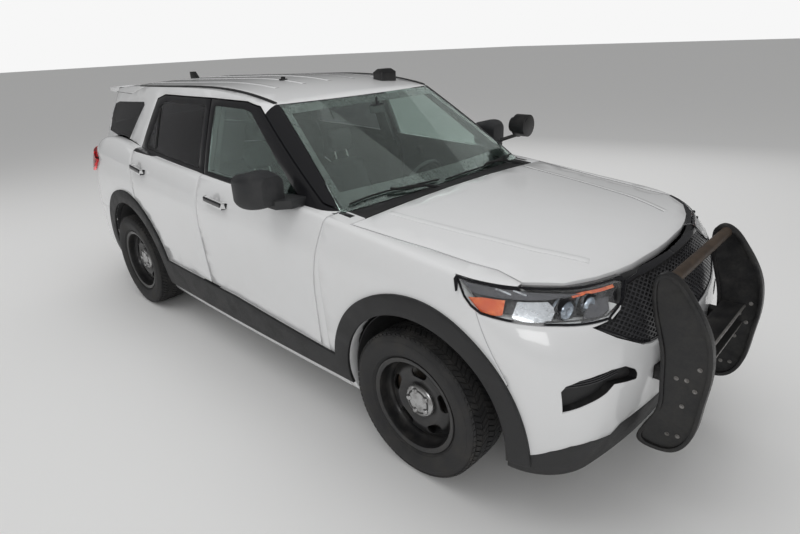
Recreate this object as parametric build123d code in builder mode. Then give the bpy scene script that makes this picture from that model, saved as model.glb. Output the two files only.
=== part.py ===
from build123d import *
import math
import os

os.makedirs("parts", exist_ok=True)

# Driving dimensions in millimetres. X runs forward, Y to the left, Z up from the ground.
wheelbase = 3025
drawn_wheelbase = 3025
front_axle_x = 1552.5
track = 1700
body_width = 1972
drawn_width = 1972
tyre_radius = 376
tyre_width = 255
rim_radius = 229

# Thicknesses and clearances
door_thickness = 60
upper_thickness = 42
rail_depth = 70
deck_thickness = 40
glass_thickness = 5
glass_gap = 1.5
panel_gap = 3
door_gap = 8
trim_thickness = 16
liner_thickness = 6
post_gap = 20
post_thickness = 34
sill_thickness = 110
hood_lip = 20
lens_thickness = 5
lamp_depth = 60
lamp_drop = 12
glass_inset = 2
seat_gap = 6

# Wheel and axle layout
hub_height = tyre_radius
wheel_y = track / 2
kingpin_offset = 110
arch_radius = 470
arch_rear_radius = 485
flare_radius = 568
flare_rear_radius = 588
flare_lead = 22
arch_gap = 6

width_scale = body_width / drawn_width


def along(ahead):
    # Frame X of a drawn place, which is measured ahead of the front axle.
    if ahead > 0:
        return front_axle_x + ahead
    if ahead < -drawn_wheelbase:
        return front_axle_x - wheelbase + (ahead + drawn_wheelbase)
    return front_axle_x + ahead * wheelbase / drawn_wheelbase


rear_axle_x = along(-drawn_wheelbase)


def across(y):
    return y * width_scale


# Level outlines of the lower body. Columns: height at the front axle, slope along the car, nose place,
# nose radius, front corner radius, half width, widest place, side radius, rear corner radius,
# tail place, tail radius.
lower_rows = [
    (235, 0.0, 800, 2900, 280, 905, -1450, 45000, 330, -4060, 3200),
    (420, 0.0, 862, 2880, 300, 955, -1450, 45000, 380, -4140, 3200),
    (640, 0.0, 884, 2750, 330, 972, -1450, 45000, 450, -4162, 3200),
    (830, -0.03, 868, 2350, 380, 984, -1450, 45000, 560, -4150, 3150),
    (985, -0.06, 826, 2000, 440, 968, -1450, 45000, 660, -4100, 3100),
    (1152, -0.055, 700, 1700, 500, 903, -1450, 45000, 700, -4045, 3050),
    (1254, -0.052, 590, 1600, 520, 850, -1450, 45000, 700, -4000, 3000),
]
# The same columns for the upper body, windscreen to tail glass.
upper_rows = [
    (1100, 0, -375, 3800, 140, 930, -1770, 13500, 260, -4120, 2800),
    (1400, 0, -810, 3700, 140, 832, -1770, 13500, 260, -4000, 2800),
    (1800, 0, -1425, 3500, 140, 662, -1770, 13500, 260, -3800, 2800),
]
# Crowned cross sections. Columns: place, height on the centre line, height at the span's end.
deck_span = 900
deck_rows = [
    (1030, 900, 860),
    (750, 1040, 1000),
    (480, 1108, 1062),
    (230, 1140, 1090),
    (-170, 1172, 1130),
    (-570, 1196, 1172),
    (-1810, 1250, 1240),
    (-2704, 1296, 1286),
    (-3470, 1330, 1322),
    (-4300, 1362, 1354),
]
roof_span = 650
roof_rows = [
    (-570, 1530, 1500),
    (-1185, 1665, 1640),
    (-1660, 1745, 1717),
    (-2270, 1758, 1731),
    (-2970, 1744, 1717),
    (-3570, 1715, 1688),
    (-4300, 1660, 1630),
]
crown_reach = 1200


def arc_meeting(first, first_radius, second, second_radius, forward):
    # Where two circles cross, taking the crossing nearer the nose or the tail.
    gap_x = second[0] - first[0]
    gap_y = second[1] - first[1]
    apart = math.hypot(gap_x, gap_y)
    share = (first_radius**2 - second_radius**2 + apart**2) / (2 * apart)
    rise = math.sqrt(first_radius**2 - share**2)
    base_x = first[0] + share * gap_x / apart
    base_y = first[1] + share * gap_y / apart
    one = (base_x + rise * gap_y / apart, base_y - rise * gap_x / apart)
    two = (base_x - rise * gap_y / apart, base_y + rise * gap_x / apart)
    pair = sorted([one, two])
    return pair[1] if forward else pair[0]


def bearing(start, end):
    return math.degrees(math.atan2(end[1] - start[1], end[0] - start[0])) % 360


def level_outline(row, inset):
    height, slope, nose, nose_r, front_r, half, widest, side_r, rear_r, tail, tail_r = row
    half = across(half)
    nose_centre = (along(nose) - nose_r, 0)
    side_centre = (along(widest), half - side_r)
    tail_centre = (along(tail) + tail_r, 0)
    front_centre = arc_meeting(nose_centre, nose_r - front_r, side_centre, side_r - front_r, True)
    rear_centre = arc_meeting(tail_centre, tail_r - rear_r, side_centre, side_r - rear_r, False)
    nose_turn = bearing(nose_centre, front_centre)
    front_turn = bearing(side_centre, front_centre)
    rear_turn = bearing(side_centre, rear_centre)
    tail_turn = bearing(tail_centre, rear_centre)
    low_front = (front_centre[0], -front_centre[1])
    low_rear = (rear_centre[0], -rear_centre[1])
    low_side = (side_centre[0], -side_centre[1])
    level = Plane(
        origin=(0, 0, height - slope * front_axle_x),
        x_dir=(1, 0, slope),
        z_dir=(-slope, 0, 1),
    )
    with BuildSketch(level) as outline:
        with BuildLine():
            CenterArc(nose_centre, nose_r - inset, -nose_turn, 2 * nose_turn)
            CenterArc(front_centre, front_r - inset, nose_turn, front_turn - nose_turn)
            CenterArc(side_centre, side_r - inset, front_turn, rear_turn - front_turn)
            CenterArc(rear_centre, rear_r - inset, rear_turn, tail_turn - rear_turn)
            CenterArc(tail_centre, tail_r - inset, tail_turn, 2 * (180 - tail_turn))
            CenterArc(low_rear, rear_r - inset, -tail_turn, tail_turn - rear_turn)
            CenterArc(low_side, side_r - inset, -rear_turn, rear_turn - front_turn)
            CenterArc(low_front, front_r - inset, -front_turn, front_turn - nose_turn)
        make_face()
    return outline.sketch.faces()[0]


def crowned_block(rows, span, drop, floor):
    # Everything below a crowned sheet, which follows the rows along the car.
    sections = []
    for ahead, centre_z, side_z in rows:
        radius = span**2 / (2 * (centre_z - side_z))
        edge_z = centre_z - drop - (radius - math.sqrt(radius**2 - crown_reach**2))
        section_plane = Plane(origin=(along(ahead), 0, 0), x_dir=(0, 1, 0), z_dir=(1, 0, 0))
        with BuildSketch(section_plane) as section:
            with BuildLine():
                ThreePointArc((-crown_reach, edge_z), (0, centre_z - drop), (crown_reach, edge_z))
                Polyline(
                    (crown_reach, edge_z),
                    (crown_reach, floor),
                    (-crown_reach, floor),
                    (-crown_reach, edge_z),
                )
            make_face()
        sections.append(section.sketch.faces()[0])
    with BuildPart() as block:
        loft(sections=sections)
    return block.part


lower_floor = 100
upper_floor = 600
shoulder_radius = 42


def wall_loft(inset):
    with BuildPart() as block:
        loft(sections=[level_outline(row, inset) for row in lower_rows])
    return block.part


def upper_loft(inset):
    with BuildPart() as block:
        loft(sections=[level_outline(row, inset) for row in upper_rows])
    return block.part


def lower_block(inset, drop):
    with BuildPart() as block:
        loft(sections=[level_outline(row, inset) for row in lower_rows])
        add(crowned_block(deck_rows, deck_span, drop, lower_floor), mode=Mode.INTERSECT)
    return block.part


def upper_block(inset, drop):
    with BuildPart() as block:
        loft(sections=[level_outline(row, inset) for row in upper_rows])
        add(crowned_block(roof_rows, roof_span, drop, upper_floor), mode=Mode.INTERSECT)
    return block.part


def grown(points, amount):
    # The outline with every edge moved out by the amount, corners kept sharp.
    count = len(points)
    area = sum(
        points[i][0] * points[(i + 1) % count][1] - points[(i + 1) % count][0] * points[i][1]
        for i in range(count)
    )
    turn = amount if area > 0 else -amount
    moved = []
    for i in range(count):
        before, here, after = points[i - 1], points[i], points[(i + 1) % count]
        first = unit_step(before, here)
        second = unit_step(here, after)
        bend = 1 + first[0] * second[0] + first[1] * second[1]
        shift_x = turn * (first[1] + second[1]) / bend
        shift_y = -turn * (first[0] + second[0]) / bend
        moved.append((here[0] + shift_x, here[1] + shift_y))
    return moved


def unit_step(start, end):
    length = math.dist(start, end)
    return ((end[0] - start[0]) / length, (end[1] - start[1]) / length)


def side_prism(points, near, far, grow=0):
    # A side view outline of drawn places and heights, carried across from near to far.
    outline = grown([(along(ahead), height) for ahead, height in points], grow)
    with BuildPart() as prism:
        with BuildSketch(Plane.XZ.offset(-far)):
            with BuildLine():
                Polyline(*outline, close=True)
            make_face()
        extrude(amount=far - near)
    return prism.part


def end_prism(points, back, front, grow=0):
    # A front view outline of Y and height, carried along the car from back to front.
    outline = grown([(across(y), height) for y, height in points], grow)
    with BuildPart() as prism:
        with BuildSketch(Plane.YZ.offset(along(back))):
            with BuildLine():
                Polyline(*outline, close=True)
            make_face()
        extrude(amount=along(front) - along(back))
    return prism.part


def plan_prism(points, low, high, grow=0):
    # A plan outline of drawn places and Y, carried up from low to high.
    outline = grown([(along(ahead), across(y)) for ahead, y in points], grow)
    with BuildPart() as prism:
        with BuildSketch(Plane.XY.offset(low)):
            with BuildLine():
                Polyline(*outline, close=True)
            make_face()
        extrude(amount=high - low)
    return prism.part


def span_box(back, front, near, far, low, high):
    x_back = along(back)
    x_front = along(front)
    with BuildPart() as box:
        with BuildSketch(Plane.XY.offset(low)):
            with Locations(((x_back + x_front) / 2, (near + far) / 2)):
                Rectangle(x_front - x_back, far - near)
        extrude(amount=high - low)
    return box.part


def wheel_drum(axle_x, radius, near, far):
    with BuildPart() as drum:
        with BuildSketch(Plane.XZ.offset(-far)):
            with Locations((axle_x, hub_height)):
                Circle(radius)
        extrude(amount=far - near)
    return drum.part


def mirrored_points(points):
    return [(y, height) for y, height in points] + [(-y, height) for y, height in reversed(points)]


def mirrored_plan(points):
    return points + [(ahead, -y) for ahead, y in reversed(points)]


def flipped(solid):
    return mirror(solid, about=Plane.XZ)


# Side view outlines of openings and panels, place ahead of the front axle against height
sill_line = [(-505, 444), (-1500, 508), (-2620, 516)]
front_door_outline = [
    (-664, 463),
    (-651, 792),
    (-602, 1186),
    (-690, 1216),
    (-1330, 1646),
    (-1450, 1668),
    (-1850, 1674),
    (-1796, 1240),
    (-1797, 518),
    (-1500, 516),
]
rear_door_outline = [
    (-1805, 518),
    (-1808, 1240),
    (-1866, 1674),
    (-2540, 1672),
    (-2660, 1642),
    (-2822, 1300),
    (-2822, 524),
]
front_window_outline = [
    (-838, 1222),
    (-1392, 1618),
    (-1470, 1634),
    (-1790, 1638),
    (-1752, 1256),
]
rear_window_outline = [
    (-1866, 1262),
    (-1914, 1636),
    (-2515, 1634),
    (-2588, 1604),
    (-2736, 1322),
    (-2712, 1297),
]
quarter_window_outline = [
    (-3150, 1308),
    (-2906, 1590),
    (-2926, 1612),
    (-3560, 1585),
    (-3674, 1562),
    (-3724, 1460),
    (-3724, 1344),
]
windscreen_outline = [(812, 1150), (630, 1654)]
gate_outline = [(640, 748), (690, 900), (700, 1250), (618, 1600), (560, 1800)]
gate_window_outline = [(636, 1392), (560, 1622), (-560, 1622), (-636, 1392)]
hood_outline = [
    (699, 60),
    (684, 300),
    (662, 420),
    (634, 524),
    (570, 672),
    (452, 784),
    (330, 768),
    (205, 790),
    (-2, 806),
    (-160, 828),
    (-440, 862),
]
lamp_outline = [
    (960, 900),
    (740, 928),
    (619, 944),
    (475, 953),
    (357, 962),
    (308, 981),
    (268, 1010),
    (205, 1086),
    (452, 1071),
    (458, 1200),
    (960, 1200),
]
lamp_front_outline = [
    (1100, 900),
    (600, 900),
    (586, 934),
    (528, 955),
    (489, 974),
    (424, 1043),
    (412, 1200),
    (1100, 1200),
]
post_strips = [
    [(-505, 260), (-505, 1260), (-592, 1260), (-592, 260)],
    [(-1715, 260), (-1760, 1225), (-1905, 1225), (-1885, 260)],
]
upper_post_strip = [(-1770, 1195), (-1816, 1700), (-1900, 1700), (-1893, 1195)]
tail_lamp_outline = [
    (-3500, 1158),
    (-3620, 1206),
    (-3740, 1216),
    (-4300, 1222),
    (-4300, 1010),
    (-3760, 1022),
    (-3600, 1086),
]
grille_rear = 520
grille_outline = [
    (412, 1100),
    (424, 1040),
    (528, 950),
    (586, 930),
    (690, 924),
    (596, 861),
    (453, 787),
    (392, 771),
]
bumper_seam = [
    (300, 1030),
    (330, 985),
    (500, 700),
    (420, 560),
    (420, 100),
    (1100, 100),
    (1100, 1090),
    (560, 1090),
]
valance_line = [
    (1100, 372),
    (888, 372),
    (857, 414),
    (808, 442),
    (736, 446),
    (606, 415),
    (556, 455),
    (300, 466),
]
rear_bumper_outline = [(-3480, 100), (-3480, 700), (-3560, 738), (-4300, 738), (-4300, 100)]
fog_outline = [
    (851, 612),
    (852, 706),
    (838, 728),
    (793, 746),
    (722, 753),
    (655, 751),
    (574, 738),
    (513, 702),
    (498, 676),
    (506, 655),
    (574, 669),
    (645, 686),
    (690, 664),
    (771, 642),
]
# Door handles: rear and front end of the bar against height at each end.
handle_ends = {
    "front_door": ((-1668, 1119), (-1445, 1104)),
    "rear_door": ((-2768, 1183), (-2570, 1164)),
}
handle_half = 17
handle_proud = 34
handle_depth = 16
handle_foot = 40


# Shapes made from shapes
def kept(base, space):
    # What lies inside a space.
    with BuildPart() as piece:
        add(base)
        add(space, mode=Mode.INTERSECT)
    return piece.part


def less(base, *spaces):
    with BuildPart() as piece:
        add(base)
        for space in spaces:
            add(space, mode=Mode.SUBTRACT)
    return piece.part


def joined(*shapes):
    with BuildPart() as piece:
        for shape in shapes:
            add(shape)
    return piece.part


def two_sides(shape):
    return joined(shape, flipped(shape))


smallest_solid = 20000
written = []


def hand_in(shape, name):
    # Writes a node's solids, without slivers left by a cut.
    solids = [solid for solid in shape.solids() if solid.volume > smallest_solid]
    node = solids[0] if len(solids) == 1 else Compound(children=solids)
    node.label = name
    export_step(node, f"parts/{name}.step")
    written.append(name)


def hand_in_pair(shape, name):
    hand_in(shape, f"{name}_left")
    hand_in(flipped(shape), f"{name}_right")


# Body blocks, outside first, then the spaces that hollow them
with BuildPart() as rounded:
    add(lower_block(0, 0))
    fillet(rounded.faces().sort_by(Axis.Z)[-1].edges(), shoulder_radius)
outer_lower = rounded.part
post_inset = door_thickness + post_gap
upper_post_inset = upper_thickness + post_gap
wall_void = wall_loft(door_thickness)
deck_void = lower_block(door_thickness, deck_thickness)
deck_below = crowned_block(deck_rows, deck_span, 0, lower_floor)
lamp_below = crowned_block(deck_rows, deck_span, lamp_drop, lower_floor)
outer_upper = upper_block(0, 0)
upper_void = upper_block(upper_thickness, upper_thickness)
rail_void = upper_block(upper_thickness, rail_depth)
glass_outer = upper_loft(glass_inset)
glass_inner = upper_loft(glass_inset + glass_thickness)

# Bounds that the spaces share: places ahead of the front axle, heights and distances to the side
far_side = 1150
mid_side = 300
nose_end = 1000
tail_end = -4400
cowl_front = -400
cowl_rear = -594
wall_low = 200
deck_high = 1300
roof_high = 1900
roof_half = 645
roof_edge = 1657
gate_front = -3740
sill_front, sill_rear = sill_line[0][0], sill_line[-1][0]


def wall_panel(space):
    # The lower body's side wall inside a space, as thick as a door.
    return less(kept(outer_lower, space), wall_void)


def upper_panel(space):
    return less(kept(outer_upper, space), upper_void, outer_lower)


def wall_sheet(outer_inset, inner_inset, space):
    return less(kept(wall_loft(outer_inset), space), wall_loft(inner_inset))


def pane(space):
    return less(kept(glass_outer, space), glass_inner, outer_lower)


# Spaces that the panels share
front_arch = wheel_drum(front_axle_x + flare_lead, arch_radius, 540, far_side)
rear_arch = wheel_drum(rear_axle_x, arch_rear_radius, 540, far_side)
door_arch_radius = flare_rear_radius + arch_gap
door_arch = wheel_drum(rear_axle_x, door_arch_radius, mid_side, far_side)
hole_arch = wheel_drum(rear_axle_x, door_arch_radius - door_gap, mid_side, far_side)
hood_plan = mirrored_plan(hood_outline)
hood_slab = less(
    plan_prism(hood_plan, 900, deck_high),
    crowned_block(deck_rows, deck_span, deck_thickness + hood_lip, lower_floor),
)
hood_space = less(
    plan_prism(hood_plan, 900, deck_high, door_gap),
    crowned_block(deck_rows, deck_span, deck_thickness + hood_lip + door_gap, lower_floor),
)
lamp_space = kept(side_prism(lamp_outline, mid_side, far_side), end_prism(lamp_front_outline, 0, nose_end))
lamp_core = kept(
    side_prism(lamp_outline, mid_side, far_side, -panel_gap),
    end_prism(lamp_front_outline, 0, nose_end, -panel_gap),
)
tail_lamp_space = side_prism(tail_lamp_outline, mid_side, far_side)
tail_lamp_core = side_prism(tail_lamp_outline, mid_side, far_side, -panel_gap)
gate_space = end_prism(mirrored_points(gate_outline), tail_end, gate_front)
gate_gap_space = end_prism(mirrored_points(gate_outline), tail_end, gate_front + door_gap, door_gap)
windscreen_space = end_prism(mirrored_points(windscreen_outline), -1500, -300)
grille_space = end_prism(mirrored_points(grille_outline), grille_rear, nose_end)
fog_space = end_prism(fog_outline, grille_rear, nose_end)
sill_space = side_prism(sill_line + [(sill_rear, wall_low), (sill_front, wall_low)], mid_side, far_side)

# Doors with their handles, and their glass
door_holes = []
for name, outline, window in (
    ("front_door", front_door_outline, front_window_outline),
    ("rear_door", rear_door_outline, rear_window_outline),
):
    low_panel = wall_panel(side_prism(outline, mid_side, far_side))
    high_panel = upper_panel(side_prism(outline, roof_half + panel_gap, far_side))
    frame = joined(low_panel, less(high_panel, side_prism(window, mid_side, far_side)))
    frame = less(frame, door_arch) if name == "rear_door" else frame
    (rear_x, rear_z), (front_x, front_z) = handle_ends[name]
    bar = side_prism(
        [
            (rear_x, rear_z - handle_half),
            (front_x, front_z - handle_half),
            (front_x, front_z + handle_half),
            (rear_x, rear_z + handle_half),
        ],
        mid_side,
        far_side,
    )
    foot_places = ((rear_x, rear_x + handle_foot, rear_z), (front_x - handle_foot, front_x, front_z))
    feet = joined(
        *[
            span_box(low_x, high_x, mid_side, far_side, middle_z - handle_half, middle_z + handle_half)
            for low_x, high_x, middle_z in foot_places
        ]
    )
    grip = wall_sheet(-handle_proud, -handle_proud + handle_depth, bar)
    frame = joined(frame, grip, less(kept(wall_loft(-handle_proud + 1), feet), wall_void))
    hand_in_pair(frame, name)
    hand_in_pair(pane(side_prism(window, mid_side, far_side, -glass_gap)), f"{name}_glass")
    door_holes.append(side_prism(outline, mid_side, far_side, door_gap))
print("doors")

# Hood, fenders, front cover, grille, valance and lamps
hand_in(less(kept(outer_lower, hood_slab), deck_void), "hood")
front_block = less(
    kept(outer_lower, span_box(cowl_rear, nose_end, -far_side, far_side, wall_low, deck_high)), hood_space
)
front_shell = less(front_block, deck_void, upper_void, two_sides(lamp_space), two_sides(front_arch))
cowl_space = span_box(cowl_rear, cowl_front, -770, 770, 1000, deck_high)
a_post_space = side_prism(post_strips[0], mid_side, far_side)
a_post = kept(wall_sheet(post_inset, post_inset + post_thickness, a_post_space), deck_below)
fender_space = less(
    span_box(cowl_rear, 600, 400, far_side, wall_low, deck_high),
    side_prism(bumper_seam, -far_side, far_side, panel_gap),
)
fender = less(kept(front_shell, fender_space), cowl_space, a_post, sill_space)
hand_in(two_sides(fender), "front_fenders")
hand_in(less(kept(front_shell, cowl_space), outer_upper), "cowl_panel")
cover = less(wall_panel(side_prism(bumper_seam, -far_side, far_side)), hood_space)
cover = less(cover, two_sides(lamp_space), front_arch, flipped(front_arch))
low_line = mirrored_points([(far_side, 0)] + valance_line)
low_space = end_prism(low_line, 0, nose_end)
bracket_slots = two_sides(span_box(700, nose_end, 314, 378, 596, 664))
face = less(cover, low_space, grille_space, fog_space, flipped(fog_space), bracket_slots)
hand_in(face, "front_bumper_cover")
valance_core = end_prism([(y, height - panel_gap) for y, height in low_line], 0, nose_end)
hand_in(kept(cover, valance_core), "lower_valance")
grille_core = end_prism(mirrored_points(grille_outline), grille_rear, nose_end, -glass_inset)
hand_in(less(kept(wall_sheet(14, 32, grille_core), lamp_below), hood_space, two_sides(lamp_space)), "grille")
fog_core = end_prism(fog_outline, grille_rear, nose_end, -glass_inset)
hand_in(two_sides(wall_sheet(30, 50, fog_core)), "front_intakes")
lens = less(kept(outer_lower, lamp_core), wall_loft(lens_thickness), hood_space)
hand_in(two_sides(lens), "headlamp_lenses")
lamp_body = less(kept(wall_sheet(lens_thickness + seat_gap, lamp_depth, lamp_core), lamp_below), hood_space)
hand_in(two_sides(lamp_body), "headlamp_housings")
print("front")

# Windscreen, roof and quarter glass
hand_in(pane(windscreen_space), "windscreen")
roof_space = span_box(gate_front, -600, -roof_half, roof_half, roof_edge, roof_high)
hand_in(upper_panel(roof_space), "roof_panel")
quarter_glass = pane(side_prism(quarter_window_outline, mid_side, far_side, -glass_gap))
hand_in(two_sides(quarter_glass), "quarter_glasses")

# Liftgate and rear cover
window_front = -3600
gate_window_space = end_prism(gate_window_outline, tail_end, window_front)
spoiler = side_prism(
    [(-3775, 1694), (-3880, 1690), (-3976, 1676), (-3984, 1652), (-3860, 1642), (-3775, 1660)], -540, 540
)
gate = less(joined(wall_panel(gate_space), upper_panel(gate_space)), gate_window_space)
hand_in(joined(gate, spoiler), "liftgate")
hand_in(pane(end_prism(gate_window_outline, tail_end, window_front, -glass_gap)), "liftgate_glass")
rear_bumper_space = side_prism(rear_bumper_outline, -far_side, far_side)
tip_slots = two_sides(span_box(tail_end, -3900, 505, 595, 100, 346))
hand_in(less(wall_panel(rear_bumper_space), two_sides(rear_arch), tip_slots), "rear_bumper_cover")
tail_lens = wall_sheet(-24, lens_thickness, tail_lamp_core)
hand_in(two_sides(less(tail_lens, gate_gap_space)), "tail_lamp_lenses")
tail_body = wall_sheet(lens_thickness + seat_gap, lamp_depth, tail_lamp_core)
hand_in(two_sides(less(tail_body, gate_gap_space)), "tail_lamp_housings")
print("rear")

# Body sides with pillars, rails, quarters and sills
quarter = wall_panel(span_box(tail_end, cowl_rear, mid_side, far_side, wall_low, 1500))
arch_corner = kept(kept(quarter, hole_arch), door_holes[1])
quarter = joined(less(quarter, rear_bumper_space, tail_lamp_space, *door_holes), arch_corner)
sill = less(kept(outer_lower, sill_space), wall_loft(sill_thickness))
rail = less(kept(outer_upper, span_box(tail_end, 0, 100, far_side, 1100, roof_high)), rail_void, outer_lower)
roof_gap_space = span_box(
    gate_front - panel_gap,
    -600,
    -roof_half - panel_gap,
    roof_half + panel_gap,
    roof_edge - panel_gap,
    roof_high,
)
windscreen_gap_space = end_prism(mirrored_points(windscreen_outline), -1500, -300, panel_gap)
rail = less(rail, roof_gap_space, windscreen_gap_space, *door_holes)
rail = less(rail, side_prism(quarter_window_outline, mid_side, far_side))
b_post_space = side_prism(post_strips[1], mid_side, far_side)
b_post = kept(wall_sheet(post_inset, post_inset + post_thickness, b_post_space), deck_below)
upper_b_post_space = side_prism(upper_post_strip, roof_half + panel_gap, far_side)
upper_b_post = less(
    kept(upper_loft(upper_post_inset), upper_b_post_space), upper_loft(upper_post_inset + post_thickness)
)
side = joined(less(joined(quarter, rail), gate_gap_space), sill, a_post, b_post, upper_b_post)
hand_in_pair(less(side, rear_arch), "body_side")
print("sides")

# Wheels: tyre and wheel sections as distance out from the wheel's middle against radius
half_tyre = tyre_width / 2
tyre_section = [
    (-98, rim_radius + 1),
    (-98, rim_radius + 18),
    (-113, rim_radius + 25),
    (-half_tyre + 3, tyre_radius - 94),
    (-half_tyre, tyre_radius - 71),
    (-half_tyre + 3, tyre_radius - 41),
    (-half_tyre + 14, tyre_radius - 18),
    (-half_tyre + 29, tyre_radius - 6),
    (-half_tyre + 77, tyre_radius - 0.4),
    (0, tyre_radius),
]
tyre_section = tyre_section + [(-out, radius) for out, radius in reversed(tyre_section[:-1])]
rim_section = [
    (-107, rim_radius + 16),
    (-101, rim_radius + 16),
    (-99, rim_radius),
    (-60, rim_radius - 3),
    (-45, rim_radius - 19),
    (20, rim_radius - 19),
    (45, rim_radius - 3),
    (99, rim_radius),
    (101, rim_radius + 16),
    (107, rim_radius + 16),
    (107, rim_radius + 9),
    (103, rim_radius - 7),
    (50, rim_radius - 10),
    (24, rim_radius - 26),
    (-49, rim_radius - 26),
    (-64, rim_radius - 10),
    (-103, rim_radius - 7),
    (-107, rim_radius + 9),
]
disc_section = [
    (20, 206),
    (34, 192),
    (50, 172),
    (58, 130),
    (52, 104),
    (46, 88),
    (46, 0),
    (36, 0),
    (36, 90),
    (42, 108),
    (48, 130),
    (41, 166),
    (26, 186),
    (8, 206),
]
cap_section = [(45, 0), (45, 82), (54, 82), (64, 74), (68, 60), (68, 0)]
rotor_section = [(37, 30), (37, 78), (-2, 78), (-2, 165), (-28, 165), (-28, 66), (-34, 66), (-34, 30)]
slot_count = 5
slot_radius = 150
slot_length = 92
slot_width = 45


def wheel_turn(points, axle_x, side):
    # A section turned about the axle at the given side of the car.
    middle = side * wheel_y
    turn_plane = Plane(origin=(axle_x, middle, hub_height), x_dir=(0, 1, 0), z_dir=(1, 0, 0))
    with BuildPart() as ring:
        with BuildSketch(turn_plane):
            with BuildLine():
                Polyline(*[(side * out, radius) for out, radius in points], close=True)
            make_face()
        revolve(axis=Axis((axle_x, middle, hub_height), (0, 1, 0)))
    return ring.part


def wheel_slots(axle_x, side):
    face = Plane(origin=(axle_x, side * (wheel_y + 90), hub_height), x_dir=(1, 0, 0), z_dir=(0, -side, 0))
    with BuildPart() as slots:
        with BuildSketch(face):
            with PolarLocations(slot_radius, slot_count, start_angle=90 - 180 / slot_count):
                SlotOverall(slot_length, slot_width, rotation=90)
        extrude(amount=88)
    return slots.part


for end, axle_x in (("front", front_axle_x), ("rear", rear_axle_x)):
    for side_name, side in (("left", 1), ("right", -1)):
        hand_in(wheel_turn(tyre_section, axle_x, side), f"tyre_{end}_{side_name}")
        with BuildPart() as wheel:
            add(wheel_turn(disc_section, axle_x, side))
            add(wheel_slots(axle_x, side), mode=Mode.SUBTRACT)
            add(wheel_turn(rim_section, axle_x, side))
            add(wheel_turn(cap_section, axle_x, side))
            add(wheel_turn(rotor_section, axle_x, side))
        hand_in(wheel.part, f"wheel_{end}_{side_name}")
print("wheels")


def block(x_range, y_range, z_range):
    with BuildPart() as made:
        with BuildSketch(Plane.XY.offset(z_range[0])):
            with Locations((sum(x_range) / 2, sum(y_range) / 2)):
                Rectangle(x_range[1] - x_range[0], y_range[1] - y_range[0])
        extrude(amount=z_range[1] - z_range[0])
    return made.part


def rod(start, end, radius):
    # A round bar between two points.
    reach = Vector(*end) - Vector(*start)
    with BuildPart() as made:
        with BuildSketch(Plane(origin=start, z_dir=reach.normalized())):
            Circle(radius)
        extrude(amount=reach.length)
    return made.part


# Knuckles and brakes
knuckle_reach = 42
kingpin_y = wheel_y - kingpin_offset
joint_low = hub_height - 160
joint_high = hub_height + 150
arm_thickness = 28
caliper_section = [
    (-52, 118),
    (-52, 184),
    (10, 184),
    (22, 172),
    (22, 118),
    (8, 118),
    (8, 174),
    (-38, 174),
    (-38, 118),
]
caliper_half = 80


def knuckle(axle_x, reach):
    # Hub carrier, ball joint post, caliper and its bracket. Reach lengthens the post into the arms.
    caliper = kept(
        wheel_turn(caliper_section, axle_x, 1),
        block(
            (axle_x - 300, axle_x - 80),
            (0, wheel_y + 200),
            (hub_height - caliper_half, hub_height + caliper_half),
        ),
    )
    bracket = block(
        (axle_x - 184, axle_x),
        (wheel_y - 66, wheel_y - 50),
        (hub_height - 42, hub_height + 42),
    )
    return joined(
        rod((axle_x, kingpin_y - 14, hub_height), (axle_x, wheel_y - knuckle_reach, hub_height), 62),
        rod((axle_x, kingpin_y, joint_low - reach), (axle_x, kingpin_y, joint_high + reach), 22),
        caliper,
        bracket,
    )


steer_arm = block(
    (front_axle_x - 150, front_axle_x + 20),
    (kingpin_y - 14, kingpin_y + 16),
    (hub_height - 96, hub_height - 40),
)
hand_in_pair(joined(knuckle(front_axle_x, 0), steer_arm), "front_knuckle")

# Suspension members, one node to each axle
member_y = 330
spring_y = 610
spring_clear = 8
liner_inner = arch_radius - 12
liner_rear_inner = arch_rear_radius - 12
subframe_half = 140
differential_rear, differential_front = -120, 150


def axle_members(axle_x, spring_top):
    # Lower and upper arms, their bracket and the spring strut of the left side.
    foot_z = joint_low - 20
    bracket_top = joint_high + 8 + arm_thickness
    parts = [
        block((axle_x - 60, axle_x + 60), (member_y - 12, member_y + 15), (176, bracket_top)),
        rod((axle_x, spring_y, foot_z), (axle_x, spring_y, spring_top), 28),
        rod((axle_x, spring_y, foot_z + 180), (axle_x, spring_y, spring_top - 50), 54),
    ]
    for low_z, tip_width, root_width in (
        (joint_low - 8 - arm_thickness, 44, 230),
        (joint_high + 8, 36, 120),
    ):
        with BuildPart() as arm:
            with BuildSketch(Plane.XY.offset(low_z)):
                with BuildLine():
                    Polyline(
                        (axle_x - tip_width / 2, kingpin_y + 20),
                        (axle_x + tip_width / 2, kingpin_y + 20),
                        (axle_x + root_width / 2, member_y),
                        (axle_x - root_width / 2, member_y),
                        close=True,
                    )
                make_face()
            extrude(amount=arm_thickness)
        parts.append(arm.part)
    return joined(*parts)


def subframe(axle_x):
    half_y = member_y + 10
    return block((axle_x - subframe_half, axle_x + subframe_half), (-half_y, half_y), (176, 236))


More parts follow.
